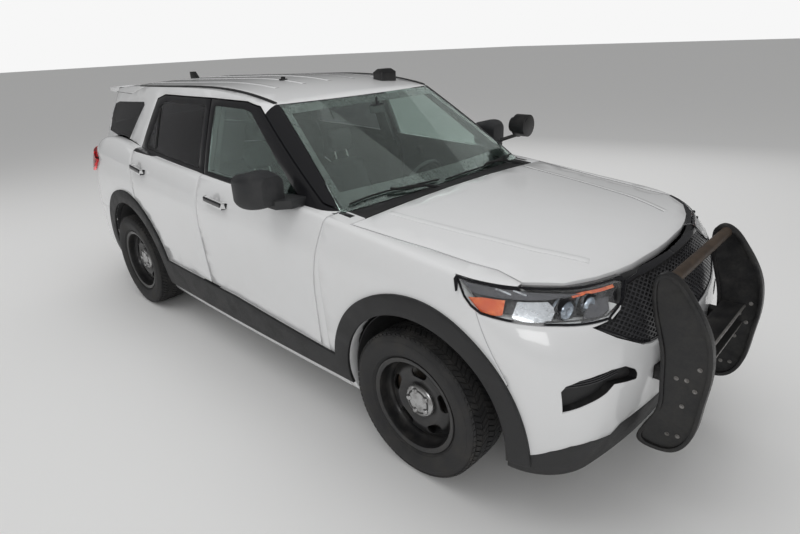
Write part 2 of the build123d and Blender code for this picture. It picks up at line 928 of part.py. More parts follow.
rack = rod((along(-190), -520, 300), (along(-190), 520, 300), 30)
rack_mounts = two_sides(block((along(-205), along(-100)), (250, 300), (230, 300)))
front_half_shaft = rod((front_axle_x, 294, 392), (front_axle_x, 690, hub_height), 17)
front_members = joined(axle_members(front_axle_x, hub_height + liner_inner - spring_clear), front_half_shaft)
front_axle = joined(two_sides(front_members), subframe(front_axle_x), rack, rack_mounts)
hand_in(front_axle, "front_suspension")
rear_half_shaft = rod((rear_axle_x, 100, 350), (rear_axle_x, kingpin_y - 10, hub_height), 17)
differential = block(
    (rear_axle_x + differential_rear, rear_axle_x + differential_front), (-115, 115), (230, 440)
)
rear_side = joined(
    axle_members(rear_axle_x, hub_height + liner_rear_inner - spring_clear),
    knuckle(rear_axle_x, 10),
    rear_half_shaft,
)
hand_in(joined(two_sides(rear_side), differential, subframe(rear_axle_x)), "rear_suspension")
print("axles")

# Arch liners
liners = []
for middle_x, inner in ((front_axle_x + flare_lead, liner_inner), (rear_axle_x, liner_rear_inner)):
    drum = wheel_drum(middle_x, inner + liner_thickness, 560, 900)
    shell = less(drum, wheel_drum(middle_x, inner, 560, 900))
    liners.append(kept(shell, block((middle_x - 600, middle_x + 600), (0, 1000), (hub_height - 20, 1100))))
hand_in(two_sides(joined(*liners)), "arch_liners")

# Outer trim over the arches and sills
trim_side = []
for middle_x, inner, outer in (
    (front_axle_x + flare_lead, arch_radius, flare_radius),
    (rear_axle_x, arch_rear_radius, flare_rear_radius),
):
    ring = wheel_drum(middle_x, outer, mid_side, far_side)
    ring = less(ring, wheel_drum(middle_x, inner, mid_side, far_side))
    ring = kept(ring, block((middle_x - 700, middle_x + 700), (0, far_side), (300, 1200)))
    trim_side.append(wall_sheet(-trim_thickness, 0, ring))
strip_space = side_prism(
    [(-450, 440), (-1500, 508), (-2500, 515), (-2500, 300), (-450, 300)], mid_side, far_side
)
trim_side.append(wall_sheet(-trim_thickness, 0, strip_space))
hand_in(two_sides(joined(*trim_side)), "side_trim")

# Floor, front structure, engine and underbody
floor_low = 262
floor_top = 290
rear_floor_low = 585
rear_floor_top = 613
mat_top = 619
cabin_inset = post_inset + post_thickness + seat_gap
bulkhead, bulkhead_front = -560, -532
step_rear, step_front = -2508, -2480
floor_blocks = joined(
    block((along(step_front), along(bulkhead_front)), (-1000, 1000), (floor_low, floor_top)),
    block((along(bulkhead), along(bulkhead_front)), (-1000, 1000), (floor_low, 1120)),
    block((along(step_rear), along(step_front)), (-1000, 1000), (floor_low, rear_floor_top)),
    block((along(-3960), along(step_front)), (-1000, 1000), (rear_floor_low, rear_floor_top)),
)
floor = less(
    kept(wall_loft(cabin_inset), floor_blocks),
    two_sides(wheel_drum(rear_axle_x, arch_rear_radius + 4, 548, far_side)),
)
mat = block((along(-3740), along(-2900)), (-480, 480), (rear_floor_low, mat_top))
hand_in(joined(floor, mat), "floor_pan")
rails = two_sides(block((along(bulkhead_front), along(700)), (400, 460), (590, 670)))
beam = block((along(700), along(745)), (-540, 540), (560, 680))
radiator = block((along(560), along(600)), (-470, 470), (300, 960))
hand_in(joined(rails, beam, radiator), "front_structure")
hand_in(block((along(-290), along(330)), (-285, 285), (350, 880)), "engine_block")
hand_in(block((along(-2420), along(-1760)), (-600, -130), (172, floor_low)), "fuel_tank")
pipe_y = 190
pipe_places = [(-700, 222), (-2560, 222), (-2700, 290), (-3720, 290)]
pipe_points = [(along(ahead), pipe_y, height) for ahead, height in pipe_places]
pipes = [rod(start, end, 30) for start, end in zip(pipe_points, pipe_points[1:])]
with BuildPart() as elbows:
    with Locations(*pipe_points[1:-1]):
        Sphere(30)
muffler = block((along(-3860), along(-3700)), (-380, 380), (250, 400))
tip_bend = (along(-3930), 550, 300)
tips = joined(
    rod((along(-3840), 350, 330), tip_bend, 30),
    rod(tip_bend, (along(-4110), 550, 300), 30),
)
hand_in(joined(*pipes, elbows.part, muffler, two_sides(tips)), "exhaust")
shaft_radius = 22
shaft_joint = (along(step_rear - 52), 0, floor_low - shaft_radius - seat_gap)
shaft_rear = (rear_axle_x + differential_front + seat_gap, 0, 300)
with BuildPart() as shaft_elbow:
    with Locations(shaft_joint):
        Sphere(shaft_radius)
shaft_front = rod((along(-330), 0, 232), shaft_joint, shaft_radius)
hand_in(joined(shaft_front, shaft_elbow.part, rod(shaft_joint, shaft_rear, shaft_radius)), "drive_shaft")
print("underbody")

# Cabin: dashboard with console, steering wheel and seats
dash_profile = [
    (-560, 740),
    (-560, 1090),
    (-720, 1112),
    (-890, 1085),
    (-955, 1020),
    (-945, 880),
    (-860, 760),
]
dash = kept(wall_loft(cabin_inset), side_prism(dash_profile, -1000, 1000))
console = joined(
    block((along(-1760), along(-900)), (-105, 105), (floor_top, 560)),
    block((along(-960), along(-860)), (-105, 105), (floor_top, 900)),
)
wheel_tilt = 24
steering_centre = (along(-1085), 370, 1010)
column_step = (math.cos(math.radians(wheel_tilt)), 0, -math.sin(math.radians(wheel_tilt)))


def down_column(distance):
    return tuple(place + distance * step for place, step in zip(steering_centre, column_step))


shroud = rod(down_column(100), down_column(220), 44)
hand_in(joined(dash, console, shroud), "dashboard")
grip_radius = 182
slant = Vector(*column_step).cross(Vector(0, 1, 1)).normalized()
with BuildPart() as grip:
    with BuildSketch(Plane(origin=steering_centre, x_dir=column_step, z_dir=slant)):
        with Locations((0, grip_radius)):
            Circle(15)
    revolve(axis=Axis(steering_centre, column_step))
steering_plane = Plane(origin=steering_centre, x_dir=(0, 1, 0), z_dir=column_step)
spoke_reach = grip_radius - 3
with BuildPart() as spokes:
    with BuildSketch(steering_plane.offset(-8)):
        Rectangle(2 * spoke_reach, 30)
    extrude(amount=16)
    with BuildSketch(steering_plane.offset(-8)):
        with Locations((0, -spoke_reach / 2)):
            Rectangle(30, spoke_reach)
    extrude(amount=16)
    with BuildSketch(steering_plane.offset(-14)):
        Circle(58)
    extrude(amount=44)
    with BuildSketch(steering_plane.offset(20)):
        Circle(30)
    extrude(amount=70)
hand_in(joined(grip.part, spokes.part), "steering_wheel")
front_seat_profile = [
    (-1300, floor_top),
    (-1240, 400),
    (-1235, 545),
    (-1290, 585),
    (-1680, 555),
    (-1870, 1080),
    (-1885, 1175),
    (-1965, 1175),
    (-1990, 1080),
    (-1840, 520),
    (-1800, floor_top),
]
rear_seat_profile = [
    (-2110, floor_top),
    (-2110, 600),
    (-2160, 648),
    (-2560, 636),
    (-2735, 1110),
    (-2745, 1210),
    (-2825, 1210),
    (-2850, 1110),
    (-2700, rear_floor_top),
    (-2478, rear_floor_top),
    (-2478, floor_top),
]
for side_name, middle in (("left", 370), ("right", -370)):
    seat = joined(
        side_prism(front_seat_profile, middle - 245, middle + 245),
        block((along(-1985), along(-1890)), (middle - 130, middle + 130), (1200, 1370)),
        block((along(-1945), along(-1925)), (middle - 60, middle + 60), (1170, 1200)),
    )
    hand_in(seat, f"front_seat_{side_name}")
hand_in(side_prism(rear_seat_profile, -540, 540), "rear_seat")
print("cabin")

# Door mirrors. Columns: place ahead, middle Y, middle height, width, height and corner radius.
mirror_rows = [
    (-1040, 1032, 1290, 196, 160, 40),
    (-985, 1036, 1290, 202, 180, 44),
    (-925, 1026, 1290, 186, 180, 46),
    (-866, 1000, 1290, 130, 148, 40),
]
mirror_sections = []
for ahead, middle_y, middle_z, width, height, corner in mirror_rows:
    with BuildSketch(Plane.YZ.offset(along(ahead))) as section:
        with Locations((across(middle_y), middle_z)):
            RectangleRounded(width, height, corner)
    mirror_sections.append(section.sketch.faces()[0])
with BuildPart() as mirror_head:
    loft(sections=mirror_sections)
arm_outline = [(-800, 850), (-800, 950), (-850, 1010), (-960, 1010), (-960, 940), (-900, 850)]
mirror_arm = plan_prism(arm_outline, 1196, 1240)
hand_in_pair(joined(mirror_head.part, less(mirror_arm, outer_lower, outer_upper)), "mirror")

# Push bumper, spotlight and roof fittings
upright_outline = [
    (1065, 812),
    (1078, 669),
    (1069, 551),
    (1046, 377),
    (989, 293),
    (919, 272),
    (848, 280),
    (893, 467),
    (895, 588),
    (879, 740),
    (853, 832),
    (822, 939),
    (812, 1023),
    (818, 1062),
    (852, 1086),
    (894, 1075),
    (958, 1011),
    (1017, 927),
]
upright_y = 380
plate_half = 6
edging_half = 19
edging_width = 16


def curved_prism(points, near, far, grow=0):
    # A side view outline drawn as one smooth closed curve.
    outline = grown([(along(ahead), height) for ahead, height in points], grow)
    with BuildPart() as prism:
        with BuildSketch(Plane.XZ.offset(-far)):
            with BuildLine():
                Spline(*outline, periodic=True)
            make_face()
        extrude(amount=far - near)
    return prism.part


plate = curved_prism(upright_outline, upright_y - plate_half, upright_y + plate_half)
edging = less(
    curved_prism(upright_outline, upright_y - edging_half, upright_y + edging_half),
    curved_prism(upright_outline, upright_y - 40, upright_y + 40, -edging_width),
)
inner_face = upright_y - plate_half
tube = rod((along(869), -inner_face, 1052), (along(869), inner_face, 1052), 24)
channel = less(
    block((along(905), along(1010)), (-inner_face, inner_face), (600, 700)),
    block((along(913), along(1020)), (-400, 400), (608, 692)),
)
push_brackets = two_sides(block((along(745), along(906)), (318, inner_face), (600, 660)))
hand_in(joined(two_sides(joined(plate, edging)), tube, channel, push_brackets), "push_bumper")
spot_y, spot_z = 905, 1385
spot_back = (along(-655), spot_y, spot_z)
spotlight = joined(
    rod(spot_back, (along(-560), spot_y, spot_z), 74),
    rod((along(-690), spot_y, spot_z), spot_back, 50),
    rod((along(-640), spot_y, 1306), (along(-640), spot_y, 1340), 16),
    less(rod((along(-640), spot_y, 1320), (along(-728), 812, 1286), 12), outer_upper),
)
hand_in(spotlight, "spotlight")
pod_sections = []
for pod_z, pod_width, pod_length, corner in ((1690, 156, 96, 20), (1762, 156, 96, 20), (1784, 104, 56, 18)):
    with BuildSketch(Plane.XY.offset(pod_z)) as section:
        with Locations((along(-1465), 430)):
            RectangleRounded(pod_length, pod_width, corner)
    pod_sections.append(section.sketch.faces()[0])
with BuildPart() as pod:
    loft(sections=pod_sections, ruled=True)
mount_top = 1772
small_mount = joined(
    rod((along(-1777), -221, 1720), (along(-1777), -221, mount_top - 14), 28),
    rod((along(-1777), -221, 1730), (along(-1777), -221, mount_top), 14.3),
)
fin = side_prism([(-3345, 1700), (-3475, 1700), (-3475, 1780), (-3430, 1780)], -18, 18)
hand_in(less(joined(pod.part, small_mount, fin), outer_upper), "roof_antennas")
drip_space = block((along(-3095), along(-1275)), (634, 658), (1600, 1800))
hand_in(two_sides(less(kept(upper_block(0, -7), drip_space), outer_upper)), "roof_mouldings")
print("fittings")
print(len(written), "nodes")
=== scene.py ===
import math

import bmesh
import bpy
from mathutils import Matrix, Vector
from mathutils.bvhtree import BVHTree


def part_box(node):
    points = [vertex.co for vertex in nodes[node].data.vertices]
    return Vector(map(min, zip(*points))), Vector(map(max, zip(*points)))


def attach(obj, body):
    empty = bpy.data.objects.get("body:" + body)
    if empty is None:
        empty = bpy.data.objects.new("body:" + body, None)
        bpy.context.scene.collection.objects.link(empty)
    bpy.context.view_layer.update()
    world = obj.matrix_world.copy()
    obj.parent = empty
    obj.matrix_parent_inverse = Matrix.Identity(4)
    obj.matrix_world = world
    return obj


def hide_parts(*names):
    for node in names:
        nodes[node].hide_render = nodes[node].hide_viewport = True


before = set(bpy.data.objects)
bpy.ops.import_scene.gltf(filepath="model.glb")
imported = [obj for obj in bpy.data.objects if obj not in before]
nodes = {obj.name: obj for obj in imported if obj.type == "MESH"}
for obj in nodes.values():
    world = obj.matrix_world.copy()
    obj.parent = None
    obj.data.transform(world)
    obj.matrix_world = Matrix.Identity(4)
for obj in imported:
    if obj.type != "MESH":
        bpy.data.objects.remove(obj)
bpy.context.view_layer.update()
scene = bpy.context.scene
frontAxle = sum(corner[0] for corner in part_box("tyre_front_left")) / 2
rearAxle = sum(corner[0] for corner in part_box("tyre_rear_left")) / 2
hub = sum(corner[2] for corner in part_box("tyre_front_left")) / 2
print("frame loaded,", len(nodes), "nodes")

# Camera, room and lamps
camera = {
    "place": (3.0315, -2.514, 1.970),
    "bearing": 134.31,  # degrees, direction of view in plan
    "rise": -22.41,
    "roll": -2.51,
    "lens": 24.8,
    "sensor": 36.0,
}


def makeCamera(settings):
    bearing = math.radians(settings["bearing"])
    rise = math.radians(settings["rise"])
    roll = math.radians(settings["roll"])
    ahead = Vector(
        (
            math.cos(bearing) * math.cos(rise),
            math.sin(bearing) * math.cos(rise),
            math.sin(rise),
        )
    )
    right = ahead.cross(Vector((0, 0, 1))).normalized()
    up = right.cross(ahead)
    leanRight = right * math.cos(roll) + up * math.sin(roll)
    leanUp = up * math.cos(roll) - right * math.sin(roll)
    data = bpy.data.cameras.new("showCamera")
    data.sensor_width = settings["sensor"]
    data.lens = settings["lens"]
    data.clip_end = 100
    lens = bpy.data.objects.new("showCamera", data)
    turn = Matrix((leanRight, leanUp, -ahead)).transposed().to_4x4()
    lens.matrix_world = Matrix.Translation(settings["place"]) @ turn
    scene.collection.objects.link(lens)
    scene.camera = lens


makeCamera(camera)

lamps = {
    # name: place, aimed at, width, height, watts
    "overhead": ((0.2, -0.2, 5.6), (0.0, 0.0, 0.6), 8.0, 5.0, 132),
    "frontSide": ((5.2, -4.8, 3.4), (0.8, -0.4, 0.8), 3.0, 2.0, 62),
    "farSide": ((-1.5, 6.4, 3.8), (0.0, 0.4, 0.9), 8.0, 4.0, 75),
    "rearSide": ((-6.2, -4.4, 3.4), (-1.0, -0.4, 0.9), 5.0, 3.2, 60),
}


def makeLamp(name, place, aim, width, height, watts):
    data = bpy.data.lights.new(name, "AREA")
    data.shape = "RECTANGLE"
    data.size = width
    data.size_y = height
    data.energy = watts
    lamp = bpy.data.objects.new(name, data)
    lamp.location = place
    lamp.rotation_euler = (Vector(aim) - Vector(place)).to_track_quat("-Z", "Y").to_euler()
    lamp.visible_glossy = name == "frontSide"  # so that the glass isn't veiled by the others
    scene.collection.objects.link(lamp)


for lampName, lampFacts in lamps.items():
    makeLamp(lampName, *lampFacts)

scene.view_settings.view_transform = "Standard"

vectorMath = "ShaderNodeVectorMath"


def feed(tree, inputs, facts):
    # Gives each named input a value or another node's output.
    for name, value in facts.items():
        if isinstance(value, bpy.types.NodeSocket):
            tree.links.new(value, inputs[name])
        else:
            inputs[name].default_value = value


def put(tree, kind, facts=None, **properties):
    # Adds a shader node with its properties and inputs.
    node = tree.nodes.new(kind)
    for name, value in properties.items():
        setattr(node, name, value)
    feed(tree, node.inputs, facts or {})
    return node


def reckoned(tree, operation, *terms, kind="ShaderNodeMath", **properties):
    # A maths node, whose terms are values or other nodes' outputs.
    return put(tree, kind, dict(enumerate(terms)), operation=operation, **properties)


def blended(tree, share, first, second):
    # Two colours mixed by a share of the second.
    facts = {"Factor": share, "A": first, "B": second}
    return put(tree, "ShaderNodeMix", facts, data_type="RGBA").outputs["Result"]


room = {
    "light": 0.47,
    "shown": 0.93,
    "mirrored": 0.10,
    "floor": (0.82, 0.82, 0.815, 1),
    "floorRough": 0.75,
    "floorSize": 90,
}


def makeRoom(settings):
    world = bpy.data.worlds.new("studio")
    world.use_nodes = True
    scene.world = world
    tree = world.node_tree
    tree.nodes.clear()
    ray = put(tree, "ShaderNodeLightPath").outputs
    seen = reckoned(tree, "ADD", ray["Is Camera Ray"], ray["Is Transmission Ray"], use_clamp=True)
    base = put(
        tree,
        "ShaderNodeMapRange",
        {"Value": ray["Is Glossy Ray"], "To Min": settings["light"], "To Max": settings["mirrored"]},
    )
    strength = put(
        tree,
        "ShaderNodeMapRange",
        {"Value": seen.outputs[0], "To Min": base.outputs[0], "To Max": settings["shown"]},
    )
    sky = put(tree, "ShaderNodeBackground", {"Color": (1, 1, 1, 1), "Strength": strength.outputs[0]})
    put(tree, "ShaderNodeOutputWorld", {"Surface": sky.outputs[0]})
    mesh = bpy.data.meshes.new("studioFloor")
    shape = bmesh.new()
    bmesh.ops.create_grid(shape, x_segments=1, y_segments=1, size=settings["floorSize"])
    shape.to_mesh(mesh)
    shape.free()
    floor = bpy.data.objects.new("studioFloor", mesh)
    scene.collection.objects.link(floor)
    finish = bpy.data.materials.new("studioFloor")
    finish.use_nodes = True
    surface = finish.node_tree.nodes["Principled BSDF"]
    facts = {"Base Color": settings["floor"], "Roughness": settings["floorRough"]}
    feed(finish.node_tree, surface.inputs, facts)
    mesh.materials.append(finish)


makeRoom(room)
print("camera and studio")


# Shared shader groups
def newGroup(name, inputs, outputs):
    tree = bpy.data.node_groups.new(name, "ShaderNodeTree")
    for label, kind, value in inputs:
        socket = tree.interface.new_socket(label, in_out="INPUT", socket_type=kind)
        socket.default_value = value
    for label, kind in outputs:
        tree.interface.new_socket(label, in_out="OUTPUT", socket_type=kind)
    return tree, tree.nodes.new("NodeGroupInput").outputs, tree.nodes.new("NodeGroupOutput").inputs


def buildGrain():
    # Moulded or cast surface: fine cells over soft waviness, given as a height.
    tree, given, result = newGroup(
        "mouldedGrain",
        [("Scale", "NodeSocketFloat", 900.0), ("Wave", "NodeSocketFloat", 0.3)],
        [("Height", "NodeSocketFloat")],
    )
    place = put(tree, "ShaderNodeTexCoord").outputs["Object"]
    cells = put(
        tree, "ShaderNodeTexVoronoi", {"Vector": place, "Scale": given["Scale"]}, feature="SMOOTH_F1"
    )
    wave = put(tree, "ShaderNodeTexNoise", {"Vector": place, "Scale": 14.0, "Detail": 2.0})
    height = reckoned(
        tree, "MULTIPLY_ADD", wave.outputs["Fac"], given["Wave"], cells.outputs["Distance"]
    )
    tree.links.new(height.outputs[0], result["Height"])
    return tree


def buildWear():
    # Uneven age over a finish: broad cloudiness and small scuffs, as a colour and a roughness.
    tree, given, result = newGroup(
        "agedFinish",
        [
            ("Color", "NodeSocketColor", (0.5, 0.5, 0.5, 1)),
            ("Worn", "NodeSocketColor", (0.6, 0.6, 0.6, 1)),
            ("Roughness", "NodeSocketFloat", 0.4),
            ("Amount", "NodeSocketFloat", 0.3),
            ("Scale", "NodeSocketFloat", 6.0),
        ],
        [("Color", "NodeSocketColor"), ("Roughness", "NodeSocketFloat")],
    )
    place = put(tree, "ShaderNodeTexCoord").outputs["Object"]
    broad = put(
        tree,
        "ShaderNodeTexNoise",
        {"Vector": place, "Scale": given["Scale"], "Detail": 6.0, "Roughness": 0.65},
    )
    scuffs = put(
        tree, "ShaderNodeTexNoise", {"Vector": place, "Scale": 90.0, "Detail": 4.0, "Roughness": 0.7}
    )
    both = reckoned(tree, "MULTIPLY_ADD", scuffs.outputs["Fac"], 0.35, broad.outputs["Fac"])
    patch = put(
        tree,
        "ShaderNodeMapRange",
        {"Value": both.outputs[0], "From Min": 0.55, "From Max": 0.95},
        interpolation_type="SMOOTHSTEP",
    )
    mask = reckoned(tree, "MULTIPLY", patch.outputs[0], given["Amount"])
    tint = blended(tree, mask.outputs[0], given["Color"], given["Worn"])
    rough = reckoned(tree, "MULTIPLY_ADD", mask.outputs[0], 0.5, given["Roughness"], use_clamp=True)
    tree.links.new(tint, result["Color"])
    tree.links.new(rough.outputs[0], result["Roughness"])
    return tree


grainGroup = buildGrain()
wearGroup = buildWear()
made = {}


def newMaterial(name):
    # An empty material with a surface and an output, listed with those made.
    finish = made[name] = bpy.data.materials.new(name)
    finish.use_nodes = True
    tree = finish.node_tree
    tree.nodes.clear()
    surface = tree.nodes.new("ShaderNodeBsdfPrincipled")
    out = tree.nodes.new("ShaderNodeOutputMaterial")
    tree.links.new(surface.outputs["BSDF"], out.inputs["Surface"])
    return tree, surface, out


def tinted(color):
    return (color[0], color[1], color[2], 1)


def aged(tree, color, worn, rough, amount, scale):
    # The shared wear over a finish's own colour and roughness.
    facts = {"Color": tinted(color), "Worn": tinted(worn), "Roughness": rough, "Amount": amount}
    return put(tree, "ShaderNodeGroup", {**facts, "Scale": scale}, node_tree=wearGroup).outputs


def bumped(tree, surface, height, strength, distance):
    bump = put(tree, "ShaderNodeBump", {"Strength": strength, "Distance": distance, "Height": height})
    tree.links.new(bump.outputs["Normal"], surface.inputs["Normal"])

finishes = {
    # name: colour, worn colour, roughness, metallic, wear amount and scale, grain scale and depth, coat
    "gloss_black": ((0.010, 0.010, 0.012), (0.03, 0.03, 0.035), 0.10, 0, 0.25, 5, 400, 0.0, 0.6),
    "black_plastic": ((0.022, 0.022, 0.023), (0.05, 0.05, 0.05), 0.52, 0, 0.5, 8, 1100, 0.35, 0),
    "satin_black": ((0.016, 0.016, 0.017), (0.05, 0.048, 0.045), 0.34, 0, 0.5, 9, 700, 0.12, 0),
    "bumper_black": ((0.014, 0.014, 0.015), (0.06, 0.057, 0.052), 0.36, 0, 0.6, 7, 600, 0.25, 0.1),
    "wheel_black": ((0.016, 0.016, 0.017), (0.07, 0.065, 0.058), 0.30, 0, 0.5, 12, 500, 0.06, 0.25),
    "dark_paint": ((0.035, 0.035, 0.037), (0.09, 0.08, 0.07), 0.6, 0, 0.7, 6, 300, 0.3, 0),
    "chassis_steel": ((0.055, 0.052, 0.05), (0.16, 0.11, 0.075), 0.55, 0.6, 0.8, 9, 260, 0.3, 0),
    "exhaust_steel": ((0.36, 0.34, 0.31), (0.24, 0.18, 0.13), 0.42, 1, 0.8, 8, 240, 0.15, 0),
    "bright_steel": ((0.55, 0.55, 0.54), (0.36, 0.33, 0.30), 0.25, 1, 0.6, 14, 300, 0.05, 0),
    "cabin_plastic": ((0.032, 0.032, 0.034), (0.06, 0.06, 0.06), 0.58, 0, 0.4, 6, 800, 0.4, 0),
    "cabin_trim": ((0.09, 0.09, 0.092), (0.13, 0.13, 0.13), 0.5, 0, 0.4, 6, 800, 0.3, 0),
    "mirror_shell": ((0.030, 0.031, 0.033), (0.07, 0.07, 0.07), 0.48, 0, 0.5, 9, 1000, 0.35, 0),
    "cap_steel": ((0.58, 0.58, 0.58), (0.30, 0.29, 0.28), 0.26, 1, 0.9, 18, 120, 0.30, 0),
    "disc_steel": ((0.34, 0.33, 0.32), (0.20, 0.15, 0.11), 0.38, 1, 0.8, 12, 240, 0.1, 0),
    "bar_steel": ((0.075, 0.055, 0.042), (0.15, 0.11, 0.08), 0.42, 0.4, 0.8, 8, 300, 0.2, 0.1),
    "worn_edge": ((0.30, 0.29, 0.28), (0.12, 0.11, 0.10), 0.4, 0.5, 0.9, 30, 300, 0.2, 0),
    # The lattice plastic is black, lightened here as a painted highlight so that its bars read.
    "lattice_black_painted_highlight": ((0.040, 0.040, 0.043), (0.075, 0.075, 0.08), 0.26, 0, 0.4, 12, 300, 0.05, 0.3),
    "dark_chrome": ((0.10, 0.10, 0.11), (0.16, 0.16, 0.17), 0.16, 1, 0.4, 10, 300, 0.03, 0.3),
    "lamp_chrome": ((0.62, 0.64, 0.67), (0.10, 0.10, 0.11), 0.10, 1, 1.0, 22, 300, 0.03, 0),
    "projector": ((0.46, 0.53, 0.62), (0.70, 0.74, 0.80), 0.06, 0.6, 0.6, 26, 300, 0.0, 1),
    "amber": ((0.62, 0.075, 0.006), (0.92, 0.24, 0.02), 0.18, 0, 0.6, 24, 300, 0.05, 1),
    "red_reflector": ((0.42, 0.006, 0.010), (0.55, 0.02, 0.02), 0.12, 0, 0.5, 24, 300, 0.05, 1),
    "led_glow": ((0.78, 0.79, 0.80), (0.60, 0.62, 0.66), 0.22, 0.2, 0.5, 30, 300, 0.05, 0.5),
    "mirror_glass": ((0.62, 0.65, 0.66), (0.55, 0.58, 0.60), 0.03, 1, 0.2, 6, 300, 0.0, 0),
    "screen_glass": ((0.008, 0.009, 0.011), (0.02, 0.02, 0.024), 0.08, 0, 0.3, 8, 300, 0.0, 1),
    "frit": ((0.006, 0.006, 0.006), (0.02, 0.02, 0.02), 0.25, 0, 0.3, 8, 300, 0.0, 0.3),
    "lamp_body": ((0.02, 0.02, 0.022), (0.05, 0.05, 0.055), 0.22, 0, 0.4, 10, 300, 0.03, 0.3),
    "tyre_rubber": ((0.022, 0.022, 0.023), (0.075, 0.07, 0.063), 0.62, 0, 0.55, 9, 700, 0.25, 0),
}
grainRise = 0.0006
coatRough = 0.08


def makeFinish(name, color, worn, rough, metallic, amount, wearScale, grainScale, grainDepth, coat):
    tree, surface, out = newMaterial(name)
    look = aged(tree, color, worn, rough, amount, wearScale)
    facts = {"Base Color": look["Color"], "Roughness": look["Roughness"], "Metallic": metallic}
    feed(tree, surface.inputs, {**facts, "Coat Weight": coat, "Coat Roughness": coatRough})
    if grainDepth:
        grain = put(tree, "ShaderNodeGroup", {"Scale": grainScale}, node_tree=grainGroup)
        bumped(tree, surface, grain.outputs["Height"], grainDepth, grainRise)


for finishName, finishFacts in finishes.items():
    makeFinish(finishName, *finishFacts)


def buildInward():
    # One on faces that look into the cabin or the engine bay, which are trimmed dark.
    tree, given, result = newGroup(
        "inwardFace", [("Reach", "NodeSocketFloat", -0.03)], [("Mask", "NodeSocketFloat")]
    )
    place = put(tree, "ShaderNodeTexCoord").outputs
    away = reckoned(tree, "SUBTRACT", place["Object"], (-0.4, 0, 0.45), kind=vectorMath)
    flat = reckoned(tree, "MULTIPLY", away.outputs[0], (0.15, 1, 1), kind=vectorMath)
    facing = reckoned(tree, "DOT_PRODUCT", flat.outputs[0], place["Normal"], kind=vectorMath)
    mask = reckoned(tree, "LESS_THAN", facing.outputs["Value"], given["Reach"])
    tree.links.new(mask.outputs[0], result["Mask"])
    return tree


beltLine = {"height": 1.2276, "slope": -0.044}  # the window line at the middle of the frame, and its rise


def buildBand():
    # One where a point is above the window line and inside a length of the car, for black window frames.
    tree, given, result = newGroup(
        "windowBand",
        [
            ("Front", "NodeSocketFloat", 9.0),
            ("Back", "NodeSocketFloat", -9.0),
            ("Top", "NodeSocketFloat", 9.0),
            ("Lift", "NodeSocketFloat", 0.0),
        ],
        [("Mask", "NodeSocketFloat")],
    )
    place = put(tree, "ShaderNodeTexCoord").outputs["Object"]
    parts = put(tree, "ShaderNodeSeparateXYZ", {0: place}).outputs
    line = reckoned(tree, "MULTIPLY_ADD", parts["X"], beltLine["slope"], beltLine["height"])
    base = reckoned(tree, "ADD", line.outputs[0], given["Lift"])
    mask = None
    for high, low in (
        (parts["Z"], base.outputs[0]),
        (given["Front"], parts["X"]),
        (parts["X"], given["Back"]),
        (given["Top"], parts["Z"]),
    ):
        step = reckoned(tree, "GREATER_THAN", high, low)
        mask = reckoned(tree, "MULTIPLY", mask.outputs[0], step.outputs[0]) if mask else step
    tree.links.new(mask.outputs[0], result["Mask"])
    return tree


inwardGroup = buildInward()
bandGroup = buildBand()
paint = {
    # colour, worn colour, roughness, wear amount, wear scale
    "aged": ((0.80, 0.805, 0.81), (0.66, 0.65, 0.62), 0.28, 0.12, 2.5),
    "coatRough": 0.03,
    "trim": (0.035, 0.035, 0.037),
    "trimRough": 0.6,
    "frame": (0.012, 0.012, 0.014),
    "cup": (0.012, 0.046),  # radii where a finger cup is deepest and where it ends
    "cupDepth": 0.012,
}


def trimmed(tree, surface, color, roughness):
    # Paint outside, dark trim inside.
    inward = put(tree, "ShaderNodeGroup", node_tree=inwardGroup).outputs["Mask"]
    shade = blended(tree, inward, color, tinted(paint["trim"]))
    rough = put(tree, "ShaderNodeMix", {"Factor": inward, "A": roughness, "B": paint["trimRough"]})
    gloss = reckoned(tree, "SUBTRACT", 1.0, inward)
    facts = {"Base Color": shade, "Roughness": rough.outputs["Result"], "Coat Weight": gloss.outputs[0]}
    feed(tree, surface.inputs, {**facts, "Coat Roughness": paint["coatRough"]})


def makePaint(name, bands=(), cups=()):
    # White paint with black frames where the bands say, and round finger cups pressed behind the handles.
    tree, surface, out = newMaterial(name)
    look = aged(tree, *paint["aged"])
    color = look["Color"]
    mask = None
    for band in bands:
        step = put(tree, "ShaderNodeGroup", band, node_tree=bandGroup)
        mask = reckoned(tree, "MAXIMUM", mask.outputs[0], step.outputs[0]) if mask else step
    if mask:
        color = blended(tree, mask.outputs[0], color, tinted(paint["frame"]))
    trimmed(tree, surface, color, look["Roughness"])
    dish = None
    for ahead, height in cups:
        place = put(tree, "ShaderNodeTexCoord").outputs["Object"]
        flat = reckoned(tree, "MULTIPLY", place, (1, 0, 1), kind=vectorMath)
        away = reckoned(tree, "DISTANCE", flat.outputs[0], (ahead, 0, height), kind=vectorMath)
        bowl = put(
            tree,
            "ShaderNodeMapRange",
            {"Value": away.outputs["Value"], "From Min": paint["cup"][0], "From Max": paint["cup"][1]},
            interpolation_type="SMOOTHSTEP",
        )
        dish = reckoned(tree, "MULTIPLY", dish.outputs[0], bowl.outputs[0]) if dish else bowl
    if dish:
        bumped(tree, surface, dish.outputs[0], 1.0, paint["cupDepth"])


makePaint("white_paint")
makePaint("door_paint", [{}], [(frontAxle - 1.560, 1.122), (frontAxle - 2.672, 1.184)])
makePaint(
    "side_paint",
    [
        {"Back": frontAxle - 1.268},  # front pillar
        {"Lift": -0.8, "Front": frontAxle - 1.70, "Back": frontAxle - 1.915, "Top": 1.66},  # middle pillar
        {"Lift": -0.9, "Front": frontAxle - 0.500, "Back": frontAxle - 0.5925, "Top": 1.3},  # hinge pillar
    ],
)

